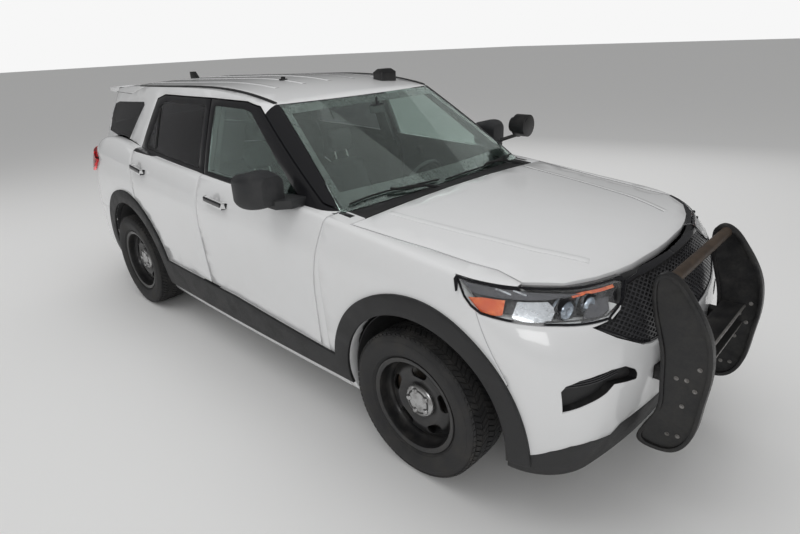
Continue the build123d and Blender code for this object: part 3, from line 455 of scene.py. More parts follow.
glass = {
    # name: tint of what passes through, roughness
    "clear_glass": ((0.72, 0.82, 0.78), 0.0),
    "front_glass": ((0.55, 0.66, 0.62), 0.0),
    "dark_glass": ((0.12, 0.12, 0.125), 0.0),
    "lamp_lens": ((0.94, 0.95, 0.95), 0.0),
    "red_lens": ((0.62, 0.012, 0.018), 0.05),
}
glassIor = 1.45
filmShade = 0.94


def makeGlass(name, tint, rough):
    # Clear glass with a faint film, through which shadows are only tinted.
    tree, surface, out = newMaterial(name)
    feed(tree, surface.inputs, {"Transmission Weight": 1, "Roughness": rough, "IOR": glassIor})
    place = put(tree, "ShaderNodeTexCoord").outputs["Object"]
    film = put(tree, "ShaderNodeTexNoise", {"Vector": place, "Scale": 5.0, "Detail": 3.0})
    hazed = tinted([filmShade * part for part in tint])
    shade = blended(tree, film.outputs["Fac"], tinted(tint), hazed)
    tree.links.new(shade, surface.inputs["Base Color"])
    through = put(tree, "ShaderNodeBsdfTransparent", {"Color": tinted(tint)})
    shadow = put(tree, "ShaderNodeLightPath").outputs["Is Shadow Ray"]
    mix = put(
        tree, "ShaderNodeMixShader", {0: shadow, 1: surface.outputs["BSDF"], 2: through.outputs["BSDF"]}
    )
    tree.links.new(mix.outputs[0], out.inputs["Surface"])


for glassName, (glassTint, glassRough) in glass.items():
    makeGlass(glassName, glassTint, glassRough)

cloth = {
    # colour, worn colour, roughness, wear amount, wear scale
    "aged": ((0.032, 0.032, 0.035), (0.065, 0.063, 0.06), 0.85, 0.6, 7.0),
    "thread": (0.055, 0.055, 0.058),
    "weave": 260.0,
    "sheen": 0.04,
}


def makeCloth(settings):
    tree, surface, out = newMaterial("seat_cloth")
    place = put(tree, "ShaderNodeTexCoord").outputs["Object"]
    weave = put(
        tree,
        "ShaderNodeTexWave",
        {"Vector": place, "Scale": settings["weave"], "Distortion": 2.0, "Detail": 2.0},
        wave_type="BANDS",
        bands_direction="DIAGONAL",
    ).outputs["Fac"]
    look = aged(tree, *settings["aged"])
    thread = blended(tree, weave, look["Color"], tinted(settings["thread"]))
    facts = {"Base Color": thread, "Roughness": look["Roughness"]}
    feed(tree, surface.inputs, {**facts, "Sheen Weight": settings["sheen"]})
    bumped(tree, surface, weave, 0.4, 0.0008)


makeCloth(cloth)
print("materials", len(made))


def edged(obj, width, angle=35, weld=0.00004, segments=2):
    # Joins the node's loose faces, rounds its sharp edges and shades the rest smooth.
    join = obj.modifiers.new("joined", "WELD")
    join.merge_threshold = weld
    soft = obj.modifiers.new("softEdges", "BEVEL")
    soft.width = width
    soft.segments = segments
    soft.limit_method = "ANGLE"
    soft.angle_limit = math.radians(angle)
    soft.harden_normals = True
    soft.use_clamp_overlap = True
    for face in obj.data.polygons:
        face.use_smooth = True


# Each node's finish
dressing = {
    "white_paint": [
        "hood", "front_fenders", "front_bumper_cover", "roof_panel", "rear_bumper_cover", "liftgate"
    ],
    "side_paint": ["body_side_left", "body_side_right"],
    "bumper_black": ["push_bumper", "spotlight"],
    "black_plastic": [
        "front_intakes", "lower_valance", "side_trim", "cowl_panel", "arch_liners", "grille"
    ],
    "satin_black": ["roof_antennas", "roof_mouldings"],
    "dark_paint": ["floor_pan", "front_structure", "engine_block", "fuel_tank"],
    "chassis_steel": ["front_suspension", "rear_suspension", "drive_shaft"],
    "exhaust_steel": ["exhaust"],
    "cabin_plastic": ["dashboard", "steering_wheel"],
    "seat_cloth": ["front_seat_left", "front_seat_right", "rear_seat"],
    "lamp_body": ["headlamp_housings", "tail_lamp_housings"],
    "clear_glass": ["windscreen"],
    "dark_glass": ["quarter_glasses", "liftgate_glass"],
    "lamp_lens": ["headlamp_lenses"],
    "red_lens": ["tail_lamp_lenses"],
}
paired = {
    "door_paint": ["front_door", "rear_door"],
    "front_glass": ["front_door_glass"],
    "dark_glass": ["rear_door_glass"],
    "mirror_shell": ["mirror"],
    "chassis_steel": ["front_knuckle"],
    "tyre_rubber": ["tyre_front", "tyre_rear"],
    "wheel_black": ["wheel_front", "wheel_rear"],
}
for finishName, stems in paired.items():
    names = dressing.setdefault(finishName, [])
    names.extend(f"{stem}_{side}" for stem in stems for side in ("left", "right"))
edgeWidths = {"push_bumper": 0.006, "dashboard": 0.012, "mirror_left": 0.003, "mirror_right": 0.003}
edgeWidth = 0.0015


def isPane(name):
    return "glass" in name or "lens" in name or name == "windscreen"


for finishName, names in dressing.items():
    for name in names:
        piece = nodes[name]
        piece.data.materials.clear()
        piece.data.materials.append(made[finishName])
        if not isPane(name):
            edged(piece, edgeWidths.get(name, edgeWidth))
print("nodes dressed, left over:", [name for name, piece in nodes.items() if not piece.data.materials])


# Tools for the new pieces
def at(ahead, across, height):
    # A place in metres, from millimetres ahead of the front axle, across and up.
    return Vector((frontAxle + ahead / 1000, across / 1000, height / 1000))


weldGap = 0.00001


def meshed(shape, name, finish):
    # The shape as an object with one finish.
    mesh = bpy.data.meshes.new(name)
    shape.to_mesh(mesh)
    shape.free()
    mesh.materials.append(made[finish])
    piece = bpy.data.objects.new(name, mesh)
    scene.collection.objects.link(piece)
    return piece


def finished(shape, name, finish, body="body", angle=40):
    # Closes a mesh, turns its faces outwards, and hands it over as a piece on a body.
    bmesh.ops.remove_doubles(shape, verts=shape.verts, dist=weldGap)
    bmesh.ops.recalc_face_normals(shape, faces=shape.faces)
    piece = meshed(shape, name, finish)
    for face in piece.data.polygons:
        face.use_smooth = True
    piece.data.set_sharp_from_angle(angle=math.radians(angle))
    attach(piece, body)
    return piece


def addBox(shape, low, high, rounding=0.0, steps=2):
    verts = bmesh.ops.create_cube(shape, size=1)["verts"]
    bmesh.ops.scale(shape, vec=[b - a for a, b in zip(low, high)], verts=verts)
    bmesh.ops.translate(shape, vec=(Vector(low) + Vector(high)) / 2, verts=verts)
    if rounding:
        edges = list({edge for vert in verts for edge in vert.link_edges})
        bmesh.ops.bevel(
            shape, geom=edges, offset=rounding, segments=steps, profile=0.5, affect="EDGES", material=-1
        )


def addRod(shape, start, end, radius, tip=None, around=20):
    reach = end - start
    turn = reach.to_track_quat("Z", "Y").to_matrix().to_4x4()
    bmesh.ops.create_cone(
        shape,
        cap_ends=True,
        segments=around,
        radius1=radius,
        radius2=radius if tip is None else tip,
        depth=reach.length,
        matrix=Matrix.Translation((start + end) / 2) @ turn,
    )


def addTurned(shape, profile, centre, axis, steps=48):
    # Spins a profile of (along the axis, radius) in metres about an axis through the centre.
    aside = axis.orthogonal().normalized()
    verts = [shape.verts.new(centre + axis * along + aside * radius) for along, radius in profile]
    edges = [shape.edges.new(pair) for pair in zip(verts, verts[1:])]
    bmesh.ops.spin(
        shape, geom=verts + edges, cent=centre, axis=axis, angle=2 * math.pi, steps=steps, use_merge=True
    )


def surfaceOf(*names):
    # The surface of CAD nodes, for casting rays at.
    skin = bmesh.new()
    for name in names:
        skin.from_mesh(nodes[name].data)
    tree = BVHTree.FromBMesh(skin)
    skin.free()
    return tree


def met(tree, start, step):
    # Where a ray meets a surface, and the surface's direction there, turned to face the ray.
    place, normal, index, reach = tree.ray_cast(start, step)
    if place is None:
        return None, None
    return place, -normal if normal.dot(step) > 0 else normal


def diced(shape, axes, pitch):
    # Cuts a flat outline into a grid so that it can follow a curved surface.
    for axis in axes:
        places = [vert.co[axis] for vert in shape.verts]
        count = max(1, int((max(places) - min(places)) / pitch))
        for step in range(1, count):
            point = [0, 0, 0]
            point[axis] = min(places) + (max(places) - min(places)) * step / count
            normal = [0, 0, 0]
            normal[axis] = 1
            bmesh.ops.bisect_plane(
                shape,
                geom=list(shape.verts) + list(shape.edges) + list(shape.faces),
                dist=weldGap,
                plane_co=point,
                plane_no=normal,
            )


def laid(outline, tree, start, step, lift, pitch=0.03):
    # A sheet with the given outline, laid on a surface along a direction and lifted off it.
    shape = bmesh.new()
    shape.faces.new([shape.verts.new(point) for point in outline])
    axes = [axis for axis in range(3) if abs(step[axis]) < 0.5]
    diced(shape, axes, pitch)
    lost = []
    for vert in shape.verts:
        origin = Vector([start[axis] if axis not in axes else vert.co[axis] for axis in range(3)])
        place, normal = met(tree, origin, Vector(step))
        if place is None:
            lost.append(vert)
        else:
            vert.co = place + normal * lift
    bmesh.ops.delete(shape, geom=lost, context="VERTS")
    return shape


def thickened(shape, thickness):
    bmesh.ops.recalc_face_normals(shape, faces=shape.faces)
    bmesh.ops.solidify(shape, geom=list(shape.faces), thickness=thickness)
    return shape


sides = {"left": 1, "right": -1}
corners = {
    (end, side): Vector((axle, sides[side] * 0.85, hub))
    for end, axle in (("front", frontAxle), ("rear", rearAxle))
    for side in ("left", "right")
}

# Tyres, wheel caps and brake discs
tyre = {
    "steps": 76,
    "ribs": [-0.104, -0.067, -0.024, 0.024, 0.067, 0.104],
    "slant": 0.45,  # of a step, from rib to rib
    "gap": 0.0022,
    "depth": 0.0068,
    "radius": 0.376,
    "shoulder": (0.1145, 0.3575),
    "treadFrom": 0.3605,
    "round": 3.4,  # fall of the crown towards its edges
    "edge": 0.0004,
    "wall": [
        (0.098, 0.231), (0.099, 0.246), (0.108, 0.2545), (0.1135, 0.2605), (0.1155, 0.262),
        (0.1155, 0.2645), (0.1165, 0.267), (0.1215, 0.279), (0.1255, 0.295), (0.1272, 0.311),
        (0.1268, 0.326), (0.1262, 0.3275), (0.1262, 0.331), (0.1245, 0.3325), (0.1205, 0.346),
    ],
}


def makeTyre(end, side, settings):
    centre = corners[end, side]
    turn = sides[side]
    wall = settings["wall"]
    crown = settings["radius"] - settings["depth"]
    out, radius = settings["shoulder"]
    profile = [(-far, high) for far, high in wall] + [(-out, radius)]
    for rib in settings["ribs"]:
        profile.append((rib, crown - settings["round"] * abs(rib) ** 3 - settings["edge"]))
    profile += [(out, radius)] + wall[::-1]
    shape = bmesh.new()
    axis = Vector((0, turn, 0))
    addTurned(shape, profile, centre, axis, settings["steps"])
    bmesh.ops.remove_doubles(shape, verts=shape.verts, dist=weldGap)
    bmesh.ops.recalc_face_normals(shape, faces=shape.faces)
    pitch = 2 * math.pi / settings["steps"]
    for number, rib in enumerate(settings["ribs"]):
        ring = [vert for vert in shape.verts if abs((vert.co - centre).y * turn - rib) < 0.0005]
        shift = settings["slant"] * pitch * (1 if number % 2 else -1)
        bmesh.ops.rotate(shape, cent=centre, matrix=Matrix.Rotation(shift, 3, axis), verts=ring)
    blocks = []
    for face in shape.faces:
        away = face.calc_center_median() - centre
        if math.hypot(away.x, away.z) > settings["treadFrom"]:
            blocks.append(face)
    bmesh.ops.inset_individual(shape, faces=blocks, thickness=settings["gap"], use_even_offset=True)
    bmesh.ops.inset_individual(
        shape, faces=blocks, thickness=settings["edge"], depth=settings["depth"]
    )
    piece = finished(shape, f"treaded_tyre_{end}_{side}", "tyre_rubber", f"{end}_{side}_wheel", 32)
    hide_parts(f"tyre_{end}_{side}")


wheelCap = {
    "profile": [
        (0.0445, 0.083), (0.0560, 0.0845), (0.0605, 0.0815), (0.0640, 0.0760), (0.0665, 0.0660),
        (0.0685, 0.0500), (0.0690, 0.0250), (0.0695, 0.0),
    ],
    "lugs": 5,
    "lugRing": 0.0572,
    "lug": [(0.064, 0.0165), (0.0705, 0.0150), (0.0750, 0.0105), (0.0765, 0.0)],
}
brakeDisc = [(-0.0295, 0.064), (-0.0295, 0.1655), (-0.0005, 0.1655), (-0.0005, 0.0795), (0.0, 0.064)]


def makeWheelParts(end, side):
    centre = corners[end, side]
    axis = Vector((0, sides[side], 0))
    shape = bmesh.new()
    addTurned(shape, wheelCap["profile"], centre, axis, 64)
    for number in range(wheelCap["lugs"]):
        turn = Matrix.Rotation(2 * math.pi * number / wheelCap["lugs"] + 0.3, 3, axis)
        spot = centre + turn @ Vector((0, 0, wheelCap["lugRing"]))
        addTurned(shape, wheelCap["lug"], spot, axis, 20)
    finished(shape, f"wheel_cap_{end}_{side}", "cap_steel", f"{end}_{side}_wheel", 30)
    shape = bmesh.new()
    addTurned(shape, brakeDisc, centre, axis, 64)
    finished(shape, f"brake_disc_{end}_{side}", "disc_steel", f"{end}_{side}_wheel", 30)


for end, side in corners:
    makeTyre(end, side, tyre)
    makeWheelParts(end, side)
print("tyres and wheel caps")

# Grille: a diamond lattice laid over the front of its node, with gloss frames
forward = Vector((-1, 0, 0))
noseStart = 4.0
grilleSkin = surfaceOf("grille")
lattice = {
    "halfWidth": 0.0180,
    "halfHeight": 0.0108,
    "lift": 0.007,
    "bar": 0.0030,
    "depth": 0.014,
    "slope": 0.0009,
    "facing": 0.35,  # least turn towards the front of a place that carries cells
    "step": 0.03,  # most that one cell's corners differ along the car
    "weld": 0.0004,
}


def makeLattice(settings):
    low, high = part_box("grille")
    wide, tall = settings["halfWidth"], settings["halfHeight"]
    shape = bmesh.new()
    rows = int((high.z - low.z) / tall)
    columns = int(high.y / wide)
    for row in range(rows + 1):
        for column in range(-columns, columns + 1):
            if (row + column) % 2:
                continue
            across, height = column * wide, low.z + row * tall
            found = []
            for side, rise in ((wide, 0), (0, tall), (-wide, 0), (0, -tall)):
                start = Vector((noseStart, across + side, height + rise))
                place, normal = met(grilleSkin, start, forward)
                if place is not None and normal.x > settings["facing"]:
                    found.append(place + Vector((settings["lift"], 0, 0)))
            aheads = [spot.x for spot in found]
            if len(found) == 4 and max(aheads) - min(aheads) < settings["step"]:
                shape.faces.new([shape.verts.new(spot) for spot in found])
    bmesh.ops.remove_doubles(shape, verts=shape.verts, dist=settings["weld"])
    bmesh.ops.recalc_face_normals(shape, faces=shape.faces)
    if sum(face.normal.x for face in shape.faces) < 0:
        bmesh.ops.reverse_faces(shape, faces=shape.faces)
    cells = list(shape.faces)
    bmesh.ops.inset_individual(shape, faces=cells, thickness=settings["bar"], use_even_offset=True)
    bmesh.ops.inset_individual(
        shape, faces=cells, thickness=settings["slope"], depth=-settings["depth"]
    )
    # Lightened black: a painted highlight on the lattice bars.
    piece = meshed(shape, "grille_lattice", "lattice_black_painted_highlight")
    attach(piece, "body")


makeLattice(lattice)
drawnIn = (1, 0.85, 0.7, 0.55, 0.4, 0.25, 0.1)  # shares of its width that a strip may take at its end
sharpEdge = 0.7
rayBack = 3


def ribbon(name, tree, step, path, width, thickness, finish, lift, body="body", rounding=0, level=False):
    # A flat strip along a path of points, laid on a surface, as a closed bar. Its sizes are in millimetres.
    width, thickness, lift, rounding = (size / 1000 for size in (width, thickness, lift, rounding))
    shape = bmesh.new()
    step = Vector(step)
    rows = []
    for number, point in enumerate(path):
        before = path[max(number - 1, 0)]
        after = path[min(number + 1, len(path) - 1)]
        across = (after - before).cross(step).normalized() * width / 2
        pair = []
        for way in (-1, 1):
            for part in (0,) if level else drawnIn:
                place, normal = met(tree, point + across * way * part - step * rayBack, step)
                if place is not None:
                    break
            if level and place is not None:
                place, normal = place + across * way, -step
            pair.append(None if place is None else (place, normal))
        if None not in pair:
            rows.append(pair)
    cross = []
    for pair in rows:
        ring = [place + normal * lift for place, normal in pair]
        ring.extend(place + normal * (lift - thickness) for place, normal in reversed(pair))
        cross.append([shape.verts.new(spot) for spot in ring])
    for first, second in zip(cross, cross[1:]):
        for corner in range(4):
            beside = (corner + 1) % 4
            shape.faces.new((first[corner], first[beside], second[beside], second[corner]))
    shape.faces.new(cross[0])
    shape.faces.new(cross[-1][::-1])
    if rounding:
        bmesh.ops.recalc_face_normals(shape, faces=shape.faces)
        long = [edge for edge in shape.edges if edge.is_manifold and edge.calc_face_angle(0) > sharpEdge]
        bmesh.ops.bevel(
            shape, geom=long, offset=rounding, segments=2, profile=0.5, affect="EDGES", material=-1
        )
    return finished(shape, name, finish, body)


def spread(points, count):
    # Evenly spaced points along a line of given points.
    lengths = [(b - a).length for a, b in zip(points, points[1:])]
    total = sum(lengths)
    spots = []
    for number in range(count + 1):
        rest = total * number / count
        for a, b, length in zip(points, points[1:], lengths):
            if rest <= length or b is points[-1]:
                spots.append(a.lerp(b, min(rest / length, 1)))
                break
            rest -= length
    return spots


def frontLine(points, sign, count, ahead=700):
    # A path seen from the front, from points of (across, height).
    return spread([at(ahead, sign * across, height) for across, height in points], count)


frameLines = {
    # name: points of (across, height), width, lift
    "upper": ([(0, 1034), (200, 1031), (330, 1026), (420, 1018)], 17, 9),
    "lower": ([(0, 776), (300, 777), (392, 780), (453, 796), (590, 868), (660, 912)], 10, 11),
    "lampSide": ([(424, 1022), (470, 985), (528, 955), (586, 936), (672, 924)], 9, 10),
}
for label, (points, width, lift) in frameLines.items():
    for side, sign in sides.items():
        path = frontLine(points, sign, 26)
        name = f"grille_frame_{label}_{side}"
        ribbon(name, grilleSkin, forward, path, width, 14, "gloss_black", lift, rounding=2)
print("grille")

# Headlamps: reflectors, projectors and bars behind the clear lens
lampParts = {
    # name: corners (ahead, height) seen from the side, depth behind the lens, finish
    "upper_shield": (
        [
            (236, 1070), (392, 1066), (470, 1058), (576, 1048),
            (640, 1036), (560, 1030), (430, 1032), (300, 1036),
        ],
        9,
        "dark_chrome",
    ),
    "outer_reflector": (
        [(284, 1014), (345, 1026), (432, 1028), (440, 976), (400, 966), (350, 972)],
        16,
        "amber",
    ),
    "middle_panel": (
        [(474, 1027), (566, 1026), (600, 1000), (600, 962), (520, 960), (474, 972)],
        20,
        "lamp_chrome",
    ),
    "inner_panel": ([(672, 1008), (706, 1004), (728, 960), (716, 938), (682, 946)], 18, "dark_chrome"),
}
panelSheet = {"pitch": 0.012, "longest": 0.06, "thick": 0.002, "from": 1.6}
lensSkin = surfaceOf("headlamp_lenses")


def lampPanel(name, corners, depth, finish, sign, settings):
    # A reflector with the given outline, a set distance behind the lens.
    outline = [at(ahead, 0, height) for ahead, height in corners]
    start = (0, sign * settings["from"], 0)
    shape = laid(outline, lensSkin, start, (0, -sign, 0), -depth / 1000, settings["pitch"])
    for face in list(shape.faces):
        if max(edge.calc_length() for edge in face.edges) > settings["longest"]:
            bmesh.ops.delete(shape, geom=[face], context="FACES")
    thickened(shape, settings["thick"])
    finished(shape, name, finish)


for side, sign in sides.items():
    for label, (outline, depth, finishName) in lampParts.items():
        lampPanel(f"lamp_{label}_{side}", outline, depth, finishName, sign, panelSheet)

projectors = {
    "spots": [(722, 980, 0.96), (628, 982, 0.90)],  # across, height, size
    "back": 0.038,
    "turn": 0.25,
    "forward": 0.004,
    "bulb": [
        (0.0, 0.0), (0.012, 0.020), (0.010, 0.030), (0.004, 0.037), (-0.012, 0.041), (-0.040, 0.043),
    ],
    "ring": [
        (0.010, 0.040), (0.013, 0.046), (0.006, 0.050), (-0.020, 0.048), (-0.020, 0.044), (0.010, 0.040),
    ],
}
for side, sign in sides.items():
    axis = Vector((1, sign * projectors["turn"], 0)).normalized()
    for number, (across, height, size) in enumerate(projectors["spots"]):
        spot, normal = met(lensSkin, Vector((noseStart, sign * across / 1000, height / 1000)), forward)
        spot = spot - Vector((projectors["back"], 0, 0))
        shape = bmesh.new()
        bulb = [(a * size + projectors["forward"], r * size) for a, r in projectors["bulb"]]
        addTurned(shape, bulb, spot, axis, 36)
        finished(shape, f"lamp_projector_{number + 1}_{side}", "projector")
        shape = bmesh.new()
        addTurned(shape, [(a * size, r * size) for a, r in projectors["ring"]], spot, axis, 36)
        finished(shape, f"lamp_ring_{number + 1}_{side}", "dark_chrome")
lampBars = {
    # name: points of (across, height), width, depth behind the lens, finish
    "turn_bar": ([(690, 1033), (640, 1036), (560, 1031), (490, 1030)], 11, 12, "amber"),
    "upper_rim": ([(810, 1066), (714, 1055), (604, 1046), (440, 1037)], 7, 7, "gloss_black"),
    "slash_outer": ([(868, 1062), (850, 1046)], 7, 5, "lamp_chrome"),
    "slash_inner": ([(838, 1060), (818, 1045)], 6, 5, "lamp_chrome"),
    "lower_rim": ([(820, 962), (700, 955), (600, 946), (520, 968)], 6, 6, "gloss_black"),
}
for label, (points, width, depth, finishName) in lampBars.items():
    for side, sign in sides.items():
        path = frontLine(points, sign, 18)
        ribbon(f"lamp_{label}_{side}", lensSkin, forward, path, width, 3, finishName, -depth)
print("headlamps")

# Push bumper: bolts, a bare sleeve and collars on the tube, and the worn edges of the shelf
plateBolts = {
    "plates": {"near": -398.5, "far": 398.5},
    "spots": [(951, 645), (991, 650), (1031, 715), (1027, 612), (990, 524), (953, 365), (994, 373)],
    "washer": (0.0015, 0.0095),  # thickness, radius
    "head": (0.006, 0.0065, 0.0060),  # height, radius below and above
    "flat": 0.8,
}
bumperSkin = surfaceOf("push_bumper")
for label, across in plateBolts["plates"].items():
    shape = bmesh.new()
    washer, washerRadius = plateBolts["washer"]
    head, low, high = plateBolts["head"]
    for ahead, height in plateBolts["spots"]:
        for outward in (1, -1):
            out = Vector((0, outward, 0))
            place, normal = met(bumperSkin, at(ahead, across + outward * 200, height), -out)
            if place is not None and abs(normal.y) > plateBolts["flat"]:
                addRod(shape, place - out * 0.002, place + out * washer, washerRadius, around=24)
                addRod(shape, place, place + out * head, low, high, around=6)
    finished(shape, f"push_bumper_bolts_{label}", "worn_edge", angle=25)
shape = bmesh.new()
addRod(shape, at(869, -384, 1052), at(869, 384, 1052), 0.0252, around=40)
finished(shape, "push_bumper_sleeve", "bar_steel")
shape = bmesh.new()
for low, high in ((693, 702), (598, 607)):
    addBox(shape, at(1002, -380, low), at(1012, 380, high), 0.002)
finished(shape, "push_bumper_shelf_edges", "worn_edge")
shape = bmesh.new()
for sign in sides.values():
    addRod(shape, at(869, sign * 366, 1052), at(869, sign * 384, 1052), 0.034, 0.030, 40)
finished(shape, "push_bumper_collars", "bumper_black")
print("push bumper")

# Fog pockets: ridged bars across the openings, and a dark liner round each
intakeSkin = surfaceOf("front_intakes")
fogRibs = {
    "count": 4,
    "top": 735,
    "pitch": 9,
    "fall": 0.012,
    "across": (835, 780, 700, 640, 590),
    "outer": 812,
}
for side, sign in sides.items():
    for number in range(fogRibs["count"]):
        height = fogRibs["top"] - fogRibs["pitch"] * number
        points = [(y, height - (fogRibs["outer"] - y) * fogRibs["fall"]) for y in fogRibs["across"]]
        path = frontLine(points, sign, 24)
        name = f"fog_rib_{number + 1}_{side}"
        # The ribs share the lattice's lightened black, a painted highlight.
        ribbon(name, intakeSkin, forward, path, 4.6, 8, "lattice_black_painted_highlight", 8, rounding=1.2)
coverSkin = surfaceOf("front_bumper_cover")
fogLiner = {
    "outline": [
        (851, 612), (852, 706), (838, 728), (793, 746), (722, 753), (655, 751), (574, 738), (513, 702),
        (498, 676), (506, 655), (574, 669), (645, 686), (690, 664), (771, 642), (851, 612),
    ],
    "middle": (0.690, 0.700),
    "outside": 1.03,  # scale at which the cover's depth is read
    "inside": 0.985,
    "depths": (0.001, 0.030, 0.070),
    "thick": 0.0015,
}
for side, sign in sides.items():
    shape = bmesh.new()
    line = spread([Vector((0, sign * y / 1000, z / 1000)) for y, z in fogLiner["outline"]], 60)
    middle = Vector((0, sign * fogLiner["middle"][0], fogLiner["middle"][1]))
    cross = []
    for spot in line:
        outside = middle + (spot - middle) * fogLiner["outside"]
        place, normal = met(coverSkin, outside + Vector((noseStart, 0, 0)), forward)
        if place is not None:
            inside = middle + (spot - middle) * fogLiner["inside"]
            row = [Vector((place.x - depth, inside.y, inside.z)) for depth in fogLiner["depths"]]
            cross.append([shape.verts.new(corner) for corner in row])
    for first, second in zip(cross, cross[1:]):
        for number in (0, 1):
            shape.faces.new((first[number], second[number], second[number + 1], first[number + 1]))
    bmesh.ops.remove_doubles(shape, verts=shape.verts, dist=0.0001)
    thickened(shape, fogLiner["thick"])
    finished(shape, f"fog_liner_{side}", "satin_black")
print("fog pockets")

# Windscreen border and wipers
screenSkin = surfaceOf("windscreen")
screenRows = {
    # name: points of (across, height), width
    "bottom": ([(-770, 1215), (-500, 1218), (0, 1219), (500, 1218), (770, 1215)], 84),
    "top": ([(-600, 1632), (-300, 1637), (0, 1638), (300, 1637), (600, 1632)], 40),
    "left": ([(766, 1190), (700, 1410), (612, 1640)], 34),
    "right": ([(-766, 1190), (-700, 1410), (-612, 1640)], 34),
}
for label, (points, width) in screenRows.items():
    path = frontLine(points, 1, 40, -600)
    ribbon(f"windscreen_border_{label}", screenSkin, forward, path, width, 1.2, "frit", -6.8)
wiperLines = {
    # name: blade and arm as points of (ahead, across, height)
    "near": (
        [
            (-576, -738, 1189), (-569, -603, 1201), (-556, -467, 1205),
            (-534, -306, 1201), (-517, -111, 1197),
        ],
        [(-480, -118, 1176), (-512, -250, 1192), (-534, -432, 1204)],
    ),
    "far": (
        [
            (-450, -56, 1189), (-492, 143, 1191), (-515, 330, 1189),
            (-554, 555, 1195), (-583, 743, 1193),
        ],
        [(-470, 690, 1172), (-520, 560, 1188), (-528, 380, 1200)],
    ),
}
wiper = {"blade": (12, 0.010, 0.0055), "arm": (6, 0.022, 0.0075)}  # raised, off the glass, radius


def addTube(shape, points, radius, around=10):
    for start, end in zip(points, points[1:]):
        addRod(shape, start, end, radius, around=around)
    for point in points:
        bmesh.ops.create_uvsphere(
            shape, u_segments=around, v_segments=6, radius=radius, matrix=Matrix.Translation(point)
        )


def onScreen(points, raised, lift):
    # Points set off the windscreen where it is below them, or as given where it isn't.
    path = []
    for ahead, across, height in points:
        place, normal = met(screenSkin, at(900, across, height + raised), forward)
        path.append(place + normal * lift if place is not None else at(ahead, across, height))
    return path


for label, (blade, arm) in wiperLines.items():
    shape = bmesh.new()
    raised, lift, radius = wiper["blade"]
    bladePath = onScreen(blade, raised, lift)
    addTube(shape, spread(bladePath, 10), radius, 8)
    raised, lift, radius = wiper["arm"]
    armPath = onScreen(arm, raised, lift)
    armPath.append(bladePath[len(bladePath) // 2] + Vector((0.012, 0, 0.012)))
    addTube(shape, armPath, radius, 10)
    foot = armPath[0]
    addRod(shape, foot - Vector((0, 0, 0.03)), foot + Vector((0, 0, 0.008)), 0.016, 0.013)
    finished(shape, f"wiper_{label}", "satin_black", angle=30)
print("windscreen and wipers")

# Door dressing: handle covers, rear window dividers and mirror faces
handleBars = {
    "front_door": ((-1672, 1119.5), (-1441, 1104)),
    "rear_door": ((-2772, 1183.5), (-2566, 1164)),
}
for door, ((rearAhead, rearHeight), (frontAhead, frontHeight)) in handleBars.items():
    for side, sign in sides.items():
        path = spread([at(rearAhead, 0, rearHeight), at(frontAhead, 0, frontHeight)], 16)
        ribbon(
            f"{door}_handle_{side}",
            surfaceOf(f"{door}_{side}"),
            (0, -sign, 0),
            path,
            37,
            17,
            "gloss_black",
            2,
            f"{door.split('_')[0]}_{side}_door",
            rounding=6,
            level=True,
        )
dividerLine = [(-2588, 1612), (-2567, 1439), (-2553, 1290)]
mirrorFace = {"half": (0.085, 0.055), "square": 0.6, "out": 0.03, "up": 0.02, "corners": 24, "lift": 0.002}


def squared(turn, power):
    return math.copysign(abs(turn) ** power, turn)


for side, sign in sides.items():
    path = spread([at(ahead, 0, height) for ahead, height in dividerLine], 12)
    skin = surfaceOf(f"rear_door_glass_{side}")
    name = f"rear_door_divider_{side}"
    ribbon(name, skin, (0, -sign, 0), path, 24, 8, "satin_black", 4, f"rear_{side}_door", rounding=2)
    low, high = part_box(f"mirror_{side}")
    middleAcross = (low.y + high.y) / 2 + sign * mirrorFace["out"]
    middleHeight = (low.z + high.z) / 2 + mirrorFace["up"]
    halfAcross, halfHeight = mirrorFace["half"]
    outline = []
    for number in range(mirrorFace["corners"]):
        angle = 2 * math.pi * number / mirrorFace["corners"]
        across = middleAcross + halfAcross * squared(math.cos(angle), mirrorFace["square"])
        height = middleHeight + halfHeight * squared(math.sin(angle), mirrorFace["square"])
        outline.append(Vector((0, across, height)))
    shape = laid(outline, surfaceOf(f"mirror_{side}"), (-4.0, 0, 0), (1, 0, 0), mirrorFace["lift"], 0.02)
    thickened(shape, 0.0015)
    finished(shape, f"mirror_glass_{side}", "mirror_glass", f"front_{side}_door")
print("doors and mirrors")

# Roof: pressed beads, and creases beside the hood
roofSkin = surfaceOf("roof_panel")
hoodSkin = surfaceOf("hood")
down = (0, 0, -1)
beads = {"across": (-430, -215, 0, 215, 430), "ends": (-1560, -3320)}
creaseLine = [(-410, 640), (0, 585), (350, 520), (560, 440)]
for number, across in enumerate(beads["across"]):
    path = spread([at(ahead, across, 0) for ahead in beads["ends"]], 40)
    ribbon(f"roof_bead_{number + 1}", roofSkin, down, path, 30, 4, "white_paint", 3, rounding=2.8)
for side, sign in sides.items():
    path = spread([at(ahead, sign * across, 0) for ahead, across in creaseLine], 40)
    ribbon(f"hood_crease_{side}", hoodSkin, down, path, 42, 4, "white_paint", 2.4, "hood", rounding=2.2)
print("roof and hood")

# Lamp bowls: the lens's own outline carried inwards as an open housing, and a black edge round it
def outerSkin(lens, sign, outward, lift):
    # The outer face of one side's lens, moved along its direction.
    whole = bmesh.new()
    whole.from_mesh(nodes[lens].data)
    skin = bmesh.new()
    for face in whole.faces:
        if face.calc_center_median().y * sign > 0 and face.normal.dot(outward) > 0.45:
            skin.faces.new([skin.verts.new(vert.co + outward * lift) for vert in face.verts])
    whole.free()
    bmesh.ops.remove_doubles(skin, verts=skin.verts, dist=0.00005)
    return skin


